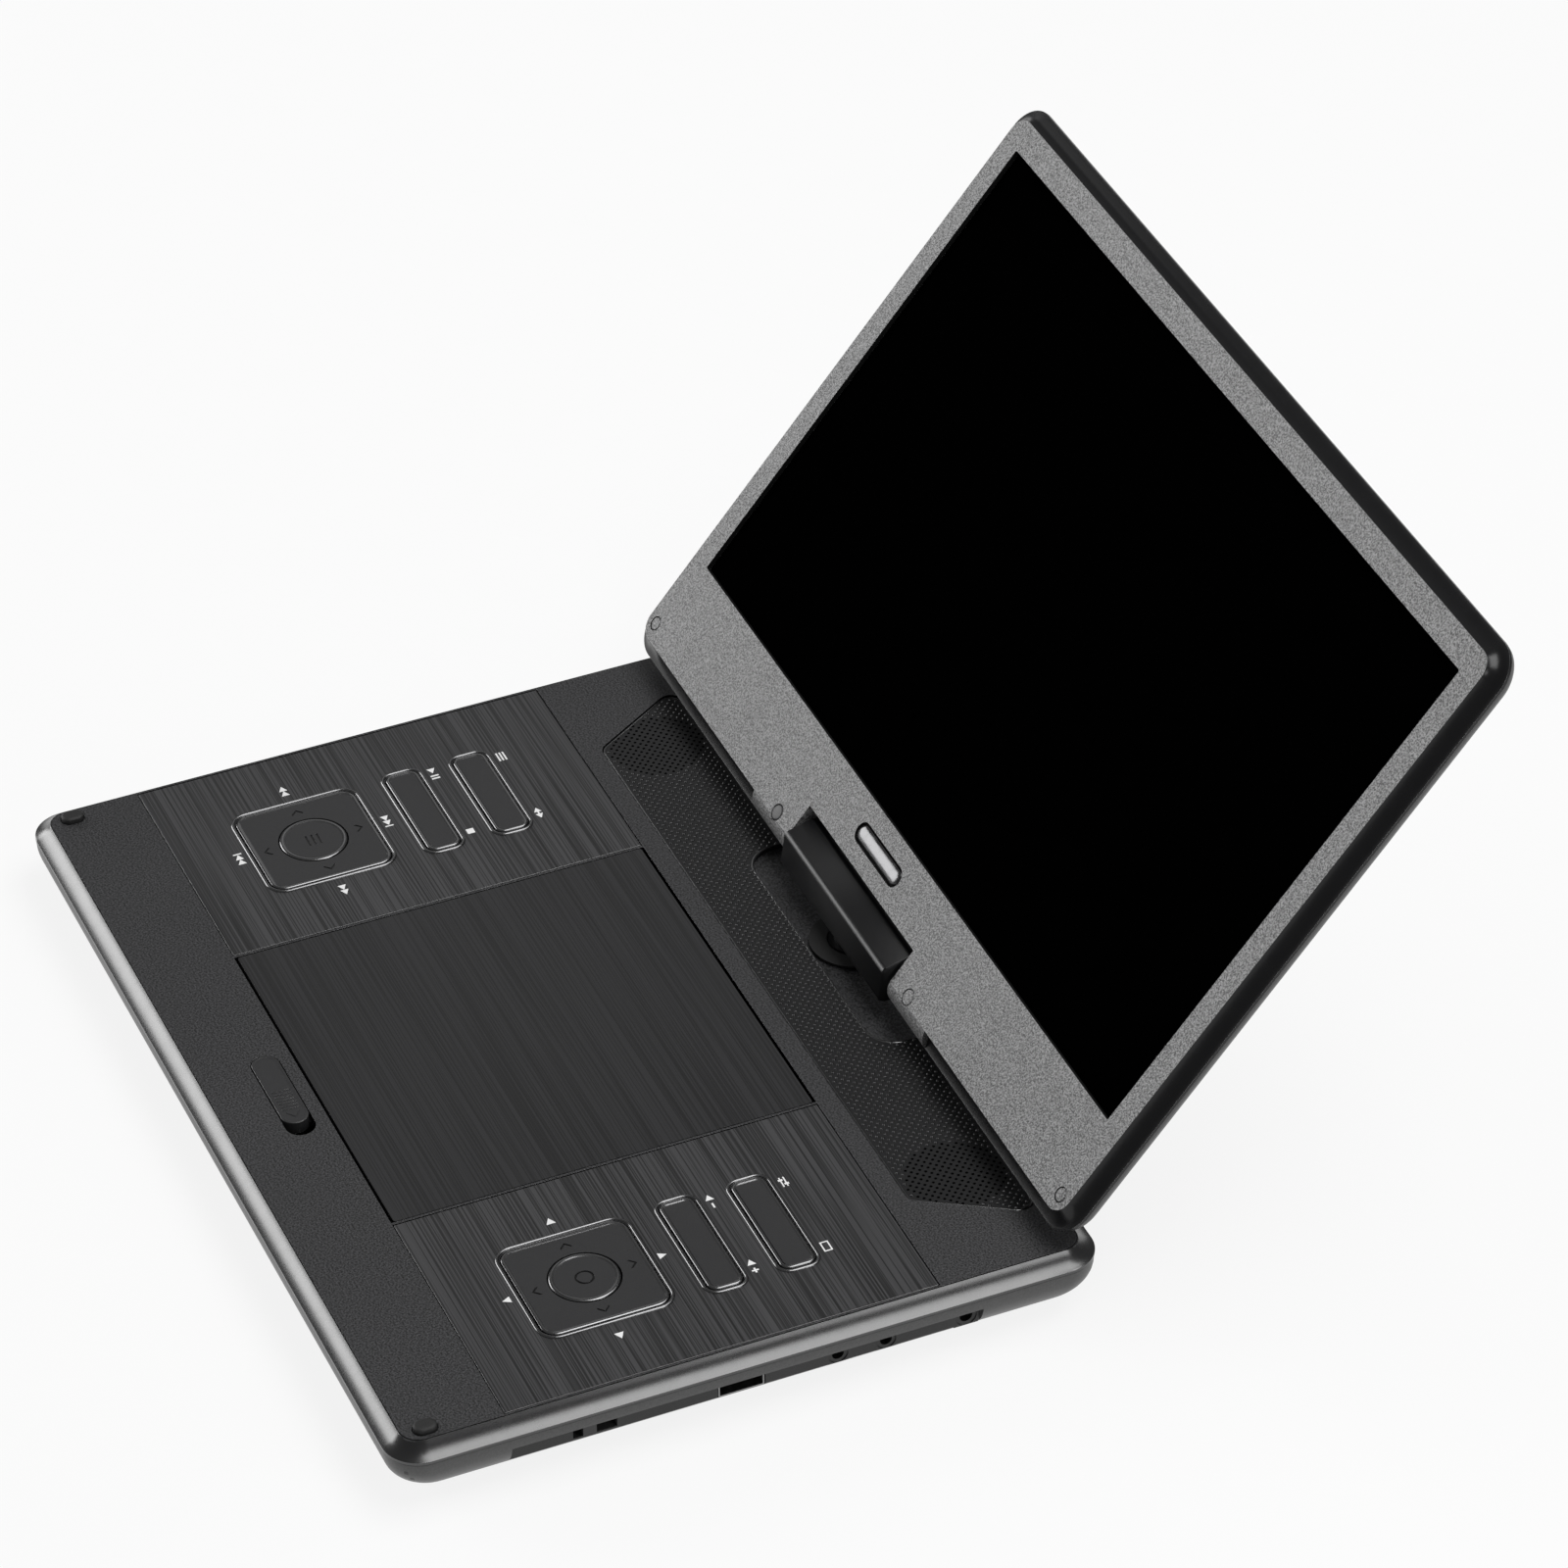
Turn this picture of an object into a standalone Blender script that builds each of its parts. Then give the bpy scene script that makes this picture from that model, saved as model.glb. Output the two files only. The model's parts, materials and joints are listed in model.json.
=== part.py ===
"""Portable disc player: a flat base with a disc drive, and a screen on a swivelling, folding hinge.

Lengths are millimetres until a mesh is made, when they become metres. +X is the user's right, +Y
points from the user to the hinge, +Z is up and the rubber feet stand on z = 0. Base pieces are
placed from the hinge line: their y is 0 at the swivel axis. Screen pieces are drawn flat, with x
along the hinge, y up the screen and z out of its face, around the tilt axis.
"""
import math

import bmesh
import bpy
from mathutils import Vector

MM = 0.001

# base outline, with y measured from the hinge line
FLAT_HALF_WIDTH = 146.2
DECK_FRONT = -192.0
DECK_REAR = 2.9
FLAT_CORNER = 5.5
COVE_WIDTH = 5.0
COVE_DROP = 3.8
RIM_LAND = 0.9
SEAM = 0.3
GAP = 0.3

# base heights and walls
FOOT_HEIGHT = 2.0
BASE_HEIGHT = 20.0
DECK_PLATE = 2.4
SKIRT_WALL = 1.6
CASE_WALL = 2.6
CASE_FLOOR = 1.8
HULL_INSET = 15.0
HULL_LAND = 1.0
HULL_CORNER_SHARE = 0.2

# the band of brushed panels, with the disc lid in its middle
BAND_FRONT = -164.4
LID_WIDTH = 125.0
LID_DEPTH = 125.3
LID_SIDE_GAP = 0.3
LID_END_GAP = 0.9
LID_THICKNESS = 2.2
LID_AXIS_INSET = 3.4
LID_AXIS_DROP = 5.3
LID_SWING_GAP = 0.3
LID_PIN_RADIUS = 1.1
LID_BARREL_RADIUS = 1.3
LID_ARM_INNER = 50.0
LID_ARM_WIDTH = 4.0
PANEL_THICKNESS = 1.0
PANEL_GROOVE = 0.3
PANEL_LIP = 0.5
PANEL_SINK = 0.05

# keys
PAD_SIZE = 36.8
PAD_CORNER = 4.3
PAD_FROM_FRONT = 39.5
PAD_PROUD = 0.3
PAD_TRAVEL = 0.6
CENTRE_RADIUS = 9.9
KEY_GAP = 0.3
KEY_FLANGE = 1.3
ROCKER_LENGTH = 38.3
ROCKER_WIDTH = 10.2
ROCKER_CORNER = 2.8
ROCKER_FROM_FRONT = (73.3, 94.4)
ROCKER_PROUD = 0.5
ROCKER_PIVOT_DROP = 4.0

# lid release slider
SLIDER_Y_INTO_STRIP = 8.2
SLIDER_LENGTH = 31.0
SLIDER_WIDTH = 8.0
SLOT_LENGTH = 36.4
SLIDER_PROUD = 0.4
SPRING_LENGTH = 11.0
SPRING_RADIUS = 1.6
SPRING_WIRE = 0.25
SPRING_TURNS = 5
SPRING_STEPS = 8

# disc drive
DISC_RING_INSET = 1.5
WELL_RING = 0.9
WELL_WALL = 1.2
WELL_FLOOR_DROP = 7.0
WELL_RING_HEIGHT = 3.2
ROD_RADIUS = 1.5
ROD_SPACING = 40.0
ROD_DROP = 11.5
CHASSIS_DROP = 14.0
CHASSIS_PLATE = 1.0
PICKUP_REST = 26.0
PICKUP_TRAVEL = 32.0
PICKUP_LENGTH = 22.0
PICKUP_DEPTH = 48.0
LENS_RADIUS = 4.6
LENS_GAP = 0.8
SCREW_OFFSET = 29.0
MOTOR_RADIUS = 12.0
HUB_RADIUS = 14.0
HUB_CONE_RADIUS = 7.3

# speakers, grille and hinge pocket
GRILLE_FRONT = -32.8
GRILLE_REAR = -1.3
GRILLE_FRONT_HALF = 110.8
GRILLE_REAR_HALF = 130.3
GRILLE_CORNER = 4.0
GRILLE_SINK = 0.4
GRILLE_THICKNESS = 1.2
SPEAKER_X = 106.0
SPEAKER_Y = -17.0
SPEAKER_RADIUS = 12.5
SPEAKER_MAGNET_RADIUS = 7.5
SPEAKER_BASKET = 5.0
SPEAKER_DEPTH = 9.0
SOUND_HOLE_RADIUS = 1.2
SOUND_HOLE_PITCH = 5.0
SOUND_HOLE_COLUMNS = 4
SOUND_HOLE_ROWS = 3
POCKET_HALF = 47.5
POCKET_FRONT = -13.6
POCKET_CORNER = 9.0
POCKET_DEPTH = 1.5
SWIVEL_PLATE_RADIUS = 13.3
NECK_RADIUS = 6.0
NECK_FLANGE_RADIUS = 7.5
SHAFT_RADIUS = 3.2
SHAFT_NUT_RADIUS = 4.6

# rubber stops, feet and case screws, measured inwards from the deck's flat outline
BUMPER_INSET = 3.8
BUMPER_FROM_FRONT = 6.7
BUMPER_HALF = (2.4, 3.4)
BUMPER_SINK = 0.8
BUMPER_PROUD = 1.6
FOOT_INSET = 28.2
FOOT_FROM_FRONT = 22.0
FOOT_FROM_REAR = 23.0
FOOT_RADIUS = 6.0
FOOT_TIP_RADIUS = 5.4
SCREW_INSET = 20.2
SCREW_Y = -38.0
SCREW_HEAD_RADIUS = 2.7
SCREW_HEAD_HEIGHT = 0.7
SCREW_SHANK_RADIUS = 1.2
SCREW_LENGTH = 7.0

# hinge and screen
HINGE_RISE = 8.8
SCREEN_ANGLE = 50.2
SCREEN_DEPTH = 12.0
SCREEN_BOTTOM = -0.9
SCREEN_TOP = 191.8
SCREEN_COVE_WIDTH = 4.6
SCREEN_COVE_DROP = 3.8
WINDOW_WIDTH = 276.6
WINDOW_HEIGHT = 155.6
WINDOW_BOTTOM = 27.7
BEZEL_PLATE = 1.6
BACK_INSET = 14.0
BACK_WALL = 1.6
NOTCH_HALF = 36.2
NOTCH_TOP = 10.4
NOTCH_WALL = 1.6
EAR_END = 60.0
HINGE_BLOCK_GAP = 1.6
HINGE_SHAFT_RADIUS = 2.5
HINGE_SHAFT_HALF = 54.0
LCD_BORDER = 5.0
LCD_THICKNESS = 3.0
BADGE_LENGTH = 26.8
BADGE_WIDTH = 5.0
BADGE_Y = 18.7

# circuit boards and battery; a chip is its distance from the board's inner edge, its share of the
# way from front to rear, and its width, depth and height
BOARD_THICKNESS = 1.6
BOARD_WALL_GAP = 7.0
BOARD_FRONT_GAP = 6.0
BOARD_REAR_GAP = 8.0
BOARD_LID_GAP = 4.5
BOARD_DRIVE_GAP = 17.0
BOARD_SOCKET_GAP = 14.5
CHIPS = ((22.0, 0.86, 14.0, 14.0, 1.4), (50.0, 0.88, 10.0, 8.0, 1.2), (9.0, 0.06, 8.0, 12.0, 1.2))
BATTERY_FRONT = 45.0
BATTERY_REAR = 40.0
BATTERY_GAP = 0.8

# right-hand sockets, with y measured from the hinge line
JACK_RECESS_REAR = -28.6
JACK_RECESS_DROP = 8.3
JACK_RECESS_HEIGHT = 6.6
JACK_RECESS_INSET = 3.0
JACK_HEIGHT_DROP = 11.6
DC_JACK_Y = -32.5
HEADPHONE_Y = -56.0
AV_JACK_Y = -70.0
USB_Y = -98.0
SWITCH_Y = -140.0
SOCKETS = {
    "dc_jack": (DC_JACK_Y, 3.6, 3.2),
    "headphone_jack": (HEADPHONE_Y, 3.0, 3.0),
    "av_jack": (AV_JACK_Y, 3.0, 3.0),
    "usb_port": (USB_Y, 6.6, 2.9),
    "power_switch": (SWITCH_Y, 6.0, 1.6),
}
SOCKET_SINK = 0.3
JACK_DEPTH = 11.0
USB_DEPTH = 13.0
USB_SHELL = 0.4

CORNER_STEPS = 6
ROUND_STEPS = 24
COVE_STEPS = 6
HULL_STEPS = 7
SHARP_ANGLE = 35

# values that follow from the sizes above
DECK_Z = FOOT_HEIGHT + BASE_HEIGHT
DECK_UNDER = DECK_Z - DECK_PLATE
SEAM_Z = DECK_Z - COVE_DROP - RIM_LAND
CASE_TOP = SEAM_Z - SEAM
BAND_REAR = BAND_FRONT + LID_DEPTH
DISC_Y = BAND_FRONT + LID_DEPTH / 2
HINGE_Z = DECK_Z + HINGE_RISE
KEY_X = (LID_WIDTH / 2 + FLAT_HALF_WIDTH) / 2
PAD_Y = BAND_FRONT + PAD_FROM_FRONT
SLIDER_Y = BAND_FRONT - SLIDER_Y_INTO_STRIP
SLIDER_X = SLIDER_LENGTH / 2 + GAP - SLOT_LENGTH / 2
LID_AXIS_Y = BAND_REAR - LID_AXIS_INSET
LID_AXIS_Z = DECK_Z - LID_AXIS_DROP
WELL_Z = DECK_Z - WELL_FLOOR_DROP
DISC_WELL_RADIUS = min(LID_WIDTH, LID_DEPTH) / 2 - DISC_RING_INSET
JACK_RECESS_X = FLAT_HALF_WIDTH + COVE_WIDTH - JACK_RECESS_INSET
BUMPER_X = FLAT_HALF_WIDTH - BUMPER_INSET
FOOT_X = FLAT_HALF_WIDTH - FOOT_INSET
SCREW_X = FLAT_HALF_WIDTH - SCREW_INSET
SCREWS = {"case_screw_left": (-SCREW_X, SCREW_Y), "case_screw_right": (SCREW_X, SCREW_Y)}
SCREEN_HALF = SCREEN_DEPTH / 2
SCREEN_SEAM = SCREEN_HALF - SCREEN_COVE_DROP - RIM_LAND
POCKET_Z = DECK_Z - POCKET_DEPTH
BLOCK_HALF = NOTCH_HALF - HINGE_BLOCK_GAP
BLOCK_BOTTOM = HINGE_Z - 5.2


def rounded_rect(x0, x1, y0, y1, radius, steps=CORNER_STEPS):
    """Corner points of a rectangle with round corners, anticlockwise."""
    points = []
    for turn, (cx, cy) in enumerate(((x1 - radius, y1 - radius), (x0 + radius, y1 - radius),
                                     (x0 + radius, y0 + radius), (x1 - radius, y0 + radius))):
        for step in range(steps + 1):
            angle = math.pi / 2 * (turn + step / steps)
            points.append((cx + radius * math.cos(angle), cy + radius * math.sin(angle)))
    return points


def rounded_polygon(corners, radius, steps=CORNER_STEPS):
    """A convex polygon, given anticlockwise, with each corner replaced by an arc."""
    points = []
    for i, corner in enumerate(corners):
        here = Vector(corner)
        back = (Vector(corners[i - 1]) - here).normalized()
        ahead = (Vector(corners[(i + 1) % len(corners)]) - here).normalized()
        half = back.angle(ahead) / 2
        centre = here + (back + ahead).normalized() * radius / math.sin(half)
        start = (here + back * radius / math.tan(half)) - centre
        sweep = math.pi - 2 * half
        for step in range(steps + 1):
            turn = sweep * step / steps
            points.append((centre.x + start.x * math.cos(turn) - start.y * math.sin(turn),
                           centre.y + start.x * math.sin(turn) + start.y * math.cos(turn)))
    return points


def circle(cx, cy, radius, steps=ROUND_STEPS):
    return [(cx + radius * math.cos(math.tau * i / steps), cy + radius * math.sin(math.tau * i / steps))
            for i in range(steps)]


def at_height(outline, z):
    return [(x, y, z) for x, y in outline]


class Workshop:
    """Makes the objects, keeps parts and cutters in their collections, and holds the finishes."""

    def __init__(self, name):
        for old in list(bpy.data.objects):
            bpy.data.objects.remove(old)
        self.parts = bpy.data.collections.new(name)
        self.cutters = bpy.data.collections.new(name + "_cutters")
        for group in (self.parts, self.cutters):
            bpy.context.scene.collection.children.link(group)
        self.finishes = {}

    def finish(self, name, colour, roughness, metallic=0.0):
        made = bpy.data.materials.new(name)
        made.use_nodes = True
        shader = made.node_tree.nodes["Principled BSDF"]
        shader.inputs["Base Color"].default_value = (*colour, 1.0)
        shader.inputs["Roughness"].default_value = roughness
        shader.inputs["Metallic"].default_value = metallic
        self.finishes[name] = made

    def pivot(self, name, location, parent=None):
        empty = bpy.data.objects.new(name, None)
        empty.location = Vector(location) * MM
        empty.parent = parent
        self.parts.objects.link(empty)
        return empty

    def add(self, name, bm, finish, parent, origin=(0, 0, 0)):
        """Turns a bmesh in millimetres into a part whose origin sits at the given point."""
        bmesh.ops.recalc_face_normals(bm, faces=bm.faces)
        bmesh.ops.translate(bm, verts=bm.verts, vec=-Vector(origin))
        bmesh.ops.scale(bm, vec=(MM, MM, MM), verts=bm.verts)
        mesh = bpy.data.meshes.new(name)
        bm.to_mesh(mesh)
        bm.free()
        mesh.shade_smooth()
        mesh.set_sharp_from_angle(angle=math.radians(SHARP_ANGLE))
        made = bpy.data.objects.new(name, mesh)
        made.location = Vector(origin) * MM
        made.parent = parent
        if finish:
            mesh.materials.append(self.finishes[finish])
            self.parts.objects.link(made)
        else:
            made.hide_render = True
            made.display_type = "WIRE"
            self.cutters.objects.link(made)
        return made

    def skin(self, name, rings, finish, parent, looped=False, origin=(0, 0, 0)):
        """Joins rings of equal count by walls: capped at both ends, or looped like a frame."""
        bm = bmesh.new()
        loops = [[bm.verts.new(point) for point in ring] for ring in rings]
        pairs = list(zip(loops, loops[1:]))
        if looped:
            pairs.append((loops[-1], loops[0]))
        else:
            bm.faces.new(loops[0])
            bm.faces.new(loops[-1])
        for lower, upper in pairs:
            for i in range(len(lower)):
                j = (i + 1) % len(lower)
                bm.faces.new((lower[i], lower[j], upper[j], upper[i]))
        return self.add(name, bm, finish, parent, origin)

    def prism(self, name, outline, z0, z1, finish, parent, origin=(0, 0, 0)):
        """A flat outline raised from one height to another."""
        bm = bmesh.new()
        floor = bm.faces.new([bm.verts.new(point) for point in at_height(outline, z0)])
        raised = bmesh.ops.extrude_face_region(bm, geom=[floor])
        top = [item for item in raised["geom"] if isinstance(item, bmesh.types.BMVert)]
        bmesh.ops.translate(bm, verts=top, vec=(0, 0, z1 - z0))
        return self.add(name, bm, finish, parent, origin)

    def box(self, name, x, y, z, finish, parent, origin=(0, 0, 0)):
        """A box from three (low, high) pairs."""
        bm = bmesh.new()
        bmesh.ops.create_cube(bm, size=1.0)
        bmesh.ops.scale(bm, vec=(x[1] - x[0], y[1] - y[0], z[1] - z[0]), verts=bm.verts)
        middle = Vector((x[0] + x[1], y[0] + y[1], z[0] + z[1])) / 2
        bmesh.ops.translate(bm, verts=bm.verts, vec=middle)
        return self.add(name, bm, finish, parent, origin)

    def rod(self, name, start, end, radius, finish, parent, steps=ROUND_STEPS, origin=(0, 0, 0)):
        """A cylinder between two points."""
        bm = bmesh.new()
        run = Vector(end) - Vector(start)
        bmesh.ops.create_cone(bm, cap_ends=True, segments=steps, radius1=radius, radius2=radius,
                              depth=run.length)
        bmesh.ops.rotate(bm, verts=bm.verts, matrix=run.to_track_quat("Z", "Y").to_matrix())
        bmesh.ops.translate(bm, verts=bm.verts, vec=(Vector(start) + Vector(end)) / 2)
        return self.add(name, bm, finish, parent, origin)

    def turned(self, name, profile, finish, parent, centre, steps=ROUND_STEPS):
        """A turned piece: profile is (radius, height) from top to bottom, spun about +Z."""
        mesh = bpy.data.meshes.new(name)
        points = [(radius * MM, 0, height * MM) for radius, height in profile]
        edges = [(i, i + 1) for i in range(len(points) - 1)]
        if profile[0][0] > 0:
            edges.append((len(points) - 1, 0))
        mesh.from_pydata(points, edges, [])
        made = bpy.data.objects.new(name, mesh)
        made.location = Vector(centre) * MM
        made.parent = parent
        spin = made.modifiers.new("turn", "SCREW")
        spin.steps = spin.render_steps = steps
        spin.use_merge_vertices = True
        spin.merge_threshold = 0.00001
        spin.use_smooth_shade = True
        mesh.materials.append(self.finishes[finish])
        self.parts.objects.link(made)
        return made

    def combine(self, target, tool, operation):
        step = target.modifiers.new(tool.name, "BOOLEAN")
        step.operation = operation
        step.object = tool

    def cut(self, target, *tools):
        for tool in tools:
            self.combine(target, tool, "DIFFERENCE")

    def join(self, target, *tools):
        for tool in tools:
            self.combine(target, tool, "UNION")


def cove_profile(width, drop, steps=COVE_STEPS):
    """(outward, down) points of the hollow edge: steep beside the flat and level at the rim."""
    return [(width * (1 - math.cos(math.pi / 2 * i / steps)), drop * math.sin(math.pi / 2 * i / steps))
            for i in range(steps + 1)]


def hull_profile(inset, depth, steps=HULL_STEPS):
    """(inward, down) points of the rounded flank of a case half."""
    return [(inset * (1 - math.cos(math.pi / 2 * i / steps)), depth * math.sin(math.pi / 2 * i / steps))
            for i in range(steps + 1)]


def base_outline(grow, corner_share=1.0):
    """The base's flat outline grown by a distance, or shrunk when it is negative."""
    corner = max(FLAT_CORNER + grow * corner_share, 1.0)
    return rounded_rect(-FLAT_HALF_WIDTH - grow, FLAT_HALF_WIDTH + grow, DECK_FRONT - grow,
                        DECK_REAR + grow, corner)


def screen_outline(grow, corner_share=1.0):
    corner = max(FLAT_CORNER + grow * corner_share, 1.0)
    return rounded_rect(-FLAT_HALF_WIDTH - grow, FLAT_HALF_WIDTH + grow, SCREEN_BOTTOM - grow,
                        SCREEN_TOP + grow, corner)


def hull_rings(outline, start, top, land, inset, bottom, steps=HULL_STEPS):
    """Rings of a case half below its land, narrowing towards the bottom."""
    rings = [at_height(outline(start), top)]
    reach = FLAT_CORNER + start
    for inward, down in hull_profile(inset, abs(top - bottom) - land, steps):
        z = top - math.copysign(land + down, top - bottom)
        corner = reach - inward * HULL_CORNER_SHARE
        grow = start - inward
        share = (corner - FLAT_CORNER) / grow if abs(grow) > 1e-6 else 1.0
        rings.append(at_height(outline(grow, share), z))
    return rings


def screen_rear_reach():
    """How far the leaning screen reaches behind the hinge line."""
    angle = math.radians(SCREEN_ANGLE)
    edge = SCREEN_TOP + SCREEN_COVE_WIDTH
    points = [(edge, SCREEN_SEAM), (edge, SCREEN_SEAM + RIM_LAND)]
    points += [(edge - SEAM - inward, SCREEN_SEAM - SEAM - down)
               for inward, down in hull_profile(BACK_INSET, SCREEN_SEAM - SEAM + SCREEN_HALF)]
    return max(up * math.cos(angle) - out * math.sin(angle) for up, out in points)


def hinge_line_y():
    """Places the hinge line so that the origin is in the middle of the open player's box."""
    front = DECK_FRONT - COVE_WIDTH
    return -(front + screen_rear_reach()) / 2


def make_finishes(shop):
    shop.finish("gloss_black", (0.012, 0.012, 0.014), 0.12)
    shop.finish("matte_black", (0.045, 0.045, 0.048), 0.55)
    shop.finish("brushed_black", (0.04, 0.041, 0.044), 0.38, 0.3)
    shop.finish("case_grey", (0.15, 0.148, 0.145), 0.4)
    shop.finish("bezel_grey", (0.28, 0.28, 0.285), 0.5)
    shop.finish("hinge_black", (0.022, 0.022, 0.024), 0.4)
    shop.finish("key_black", (0.05, 0.05, 0.053), 0.45)
    shop.finish("lcd_glass", (0.002, 0.002, 0.002), 0.2)
    shop.finish("bright_metal", (0.7, 0.7, 0.7), 0.15, 1.0)
    shop.finish("steel", (0.55, 0.55, 0.56), 0.3, 1.0)
    shop.finish("rubber_black", (0.015, 0.015, 0.015), 0.85)
    shop.finish("board_green", (0.02, 0.1, 0.04), 0.5)
    shop.finish("battery_wrap", (0.03, 0.06, 0.16), 0.4)
    shop.finish("socket_black", (0.02, 0.02, 0.02), 0.5)


def key_hole_outlines(side):
    """Outlines of one key panel's holes: the four-way pad and the two rockers."""
    x = side * KEY_X
    half = PAD_SIZE / 2 + KEY_GAP
    holes = [rounded_rect(x - half, x + half, PAD_Y - half, PAD_Y + half, PAD_CORNER + KEY_GAP)]
    for offset in ROCKER_FROM_FRONT:
        y = BAND_FRONT + offset
        long_half = ROCKER_LENGTH / 2 + KEY_GAP
        short_half = ROCKER_WIDTH / 2 + KEY_GAP
        holes.append(rounded_rect(x - long_half, x + long_half, y - short_half, y + short_half,
                                  ROCKER_CORNER + KEY_GAP))
    return holes


def grille_outline(shrink):
    depth = GRILLE_REAR - GRILLE_FRONT
    slope = (GRILLE_REAR_HALF - GRILLE_FRONT_HALF) / depth
    sideways = shrink * math.hypot(1.0, slope)
    front = GRILLE_FRONT_HALF + slope * shrink - sideways
    rear = GRILLE_REAR_HALF - slope * shrink - sideways
    corners = ((-front, GRILLE_FRONT + shrink), (front, GRILLE_FRONT + shrink),
               (rear, GRILLE_REAR - shrink), (-rear, GRILLE_REAR - shrink))
    return rounded_polygon(corners, GRILLE_CORNER)


def pocket_outline(grow):
    rear = DECK_REAR + COVE_WIDTH + POCKET_CORNER
    return rounded_rect(-POCKET_HALF - grow, POCKET_HALF + grow, POCKET_FRONT - grow, rear,
                        POCKET_CORNER)


def slider_outline(length, width, x):
    return rounded_rect(x - length / 2, x + length / 2, SLIDER_Y - width / 2, SLIDER_Y + width / 2,
                        width / 2 - 0.01)


def bumper_outline(x, grow=0.0):
    half_x = BUMPER_HALF[0] + grow
    half_y = BUMPER_HALF[1] + grow
    y = DECK_FRONT + BUMPER_FROM_FRONT
    return rounded_rect(x - half_x, x + half_x, y - half_y, y + half_y, half_x - 0.01)


def make_top_case(shop, base):
    """Deck plate with its glossy cove and skirt, and all of the openings in the deck."""
    rings = [at_height(base_outline(out), DECK_Z - down)
             for out, down in cove_profile(COVE_WIDTH, COVE_DROP)]
    rings.append(at_height(base_outline(COVE_WIDTH), SEAM_Z))
    rings.append(at_height(base_outline(-SKIRT_WALL), SEAM_Z))
    rings.append(at_height(base_outline(-SKIRT_WALL), DECK_UNDER))
    case = shop.skin("top_case", rings, "matte_black", base)

    rear = DECK_REAR + COVE_WIDTH - 0.05
    saddle = shop.box("saddle", (-POCKET_HALF - 2, POCKET_HALF + 2), (DECK_REAR - 4, rear),
                      (SEAM_Z, DECK_Z - 0.2), None, base)
    shop.join(case, saddle)

    half = LID_WIDTH / 2
    spring_end = SLIDER_X + SLIDER_LENGTH / 2 - 2.5 + 2 * GAP + SPRING_LENGTH
    shop.join(case, shop.box("spring_stop", (spring_end, spring_end + 1.5), (SLIDER_Y - 3, SLIDER_Y + 3),
                             (DECK_UNDER - 5.0, DECK_UNDER + 0.3), None, base))
    through = (SEAM_Z - 2, DECK_Z + 2)
    shop.cut(case, shop.box("lid_opening", (-half, half), (BAND_FRONT, BAND_REAR), through, None, base))
    swing = math.hypot(LID_AXIS_INSET - LID_END_GAP, LID_AXIS_DROP) + LID_SWING_GAP
    shop.cut(case, shop.rod("lid_swing", (-half, LID_AXIS_Y, LID_AXIS_Z), (half, LID_AXIS_Y, LID_AXIS_Z),
                            swing, None, base))
    panel_floor = DECK_Z - PANEL_THICKNESS - PANEL_SINK - GAP
    for side, label in ((-1, "left"), (1, "right")):
        edges = sorted((side * (half + 0.8), side * (FLAT_HALF_WIDTH - PANEL_LIP)))
        shop.cut(case, shop.box(f"{label}_panel_recess", edges, (BAND_FRONT, BAND_REAR),
                                (panel_floor, DECK_Z + 2), None, base))
        for number, hole in enumerate(key_hole_outlines(side)):
            shop.cut(case, shop.prism(f"{label}_key_hole_{number}", hole, *through, None, base))
        shop.cut(case, shop.prism(f"{label}_bumper_recess", bumper_outline(side * BUMPER_X, 0.2),
                                  DECK_Z - BUMPER_SINK, DECK_Z + 2, None, base))
        shop.cut(case, shop.rod(f"{label}_speaker_hole", (side * SPEAKER_X, SPEAKER_Y, SEAM_Z),
                                (side * SPEAKER_X, SPEAKER_Y, DECK_Z), SPEAKER_RADIUS - 2, None, base))
    grille_floor = DECK_Z - GRILLE_SINK - GRILLE_THICKNESS - GAP
    shop.cut(case, shop.prism("grille_recess", grille_outline(0), grille_floor, DECK_Z + 2, None, base))
    shop.cut(case, shop.prism("hinge_pocket", pocket_outline(0), POCKET_Z, DECK_Z + 2, None, base))
    slot = slider_outline(SLOT_LENGTH, SLIDER_WIDTH + 2 * GAP, 0)
    shop.cut(case, shop.prism("slider_slot", slot, *through, None, base))
    shop.cut(case, shop.rod("shaft_hole", (0, 0, SEAM_Z - 2), (0, 0, DECK_Z), SHAFT_RADIUS + GAP,
                            None, base))
    shop.cut(case, shop.rod("nut_room", (0, 0, SEAM_Z - 2), (0, 0, DECK_UNDER), SHAFT_NUT_RADIUS + 0.4,
                            None, base))


def make_bottom_case(shop, base):
    """Lower tray with round flanks, the socket recess on its right and the screw holes."""
    start = COVE_WIDTH - 0.2
    outer = hull_rings(base_outline, start, CASE_TOP, HULL_LAND, HULL_INSET, FOOT_HEIGHT)
    inner = hull_rings(base_outline, start - CASE_WALL, CASE_TOP, HULL_LAND, HULL_INSET,
                       FOOT_HEIGHT + CASE_FLOOR)
    case = shop.skin("bottom_case", outer[::-1] + inner, "case_grey", base)
    recess_top = DECK_Z - JACK_RECESS_DROP
    shop.cut(case, shop.box("jack_recess", (JACK_RECESS_X, FLAT_HALF_WIDTH + 2 * COVE_WIDTH),
                            (BAND_FRONT, JACK_RECESS_REAR),
                            (recess_top - JACK_RECESS_HEIGHT, recess_top), None, base))
    for name, (y, half_y, half_z) in SOCKETS.items():
        z = DECK_Z - JACK_HEIGHT_DROP
        shop.cut(case, shop.box(f"{name}_hole", (JACK_RECESS_X - 8, JACK_RECESS_X + 4),
                                (y - half_y - GAP, y + half_y + GAP),
                                (z - half_z - GAP, z + half_z + GAP), None, base))
    for name, (x, y) in SCREWS.items():
        shop.cut(case, shop.rod(f"{name}_head_room", (x, y, 0), (x, y, FOOT_HEIGHT + 1.0), 3.1, None, base),
                 shop.rod(f"{name}_hole", (x, y, 0), (x, y, FOOT_HEIGHT + 4.0), 1.6, None, base))


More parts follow.
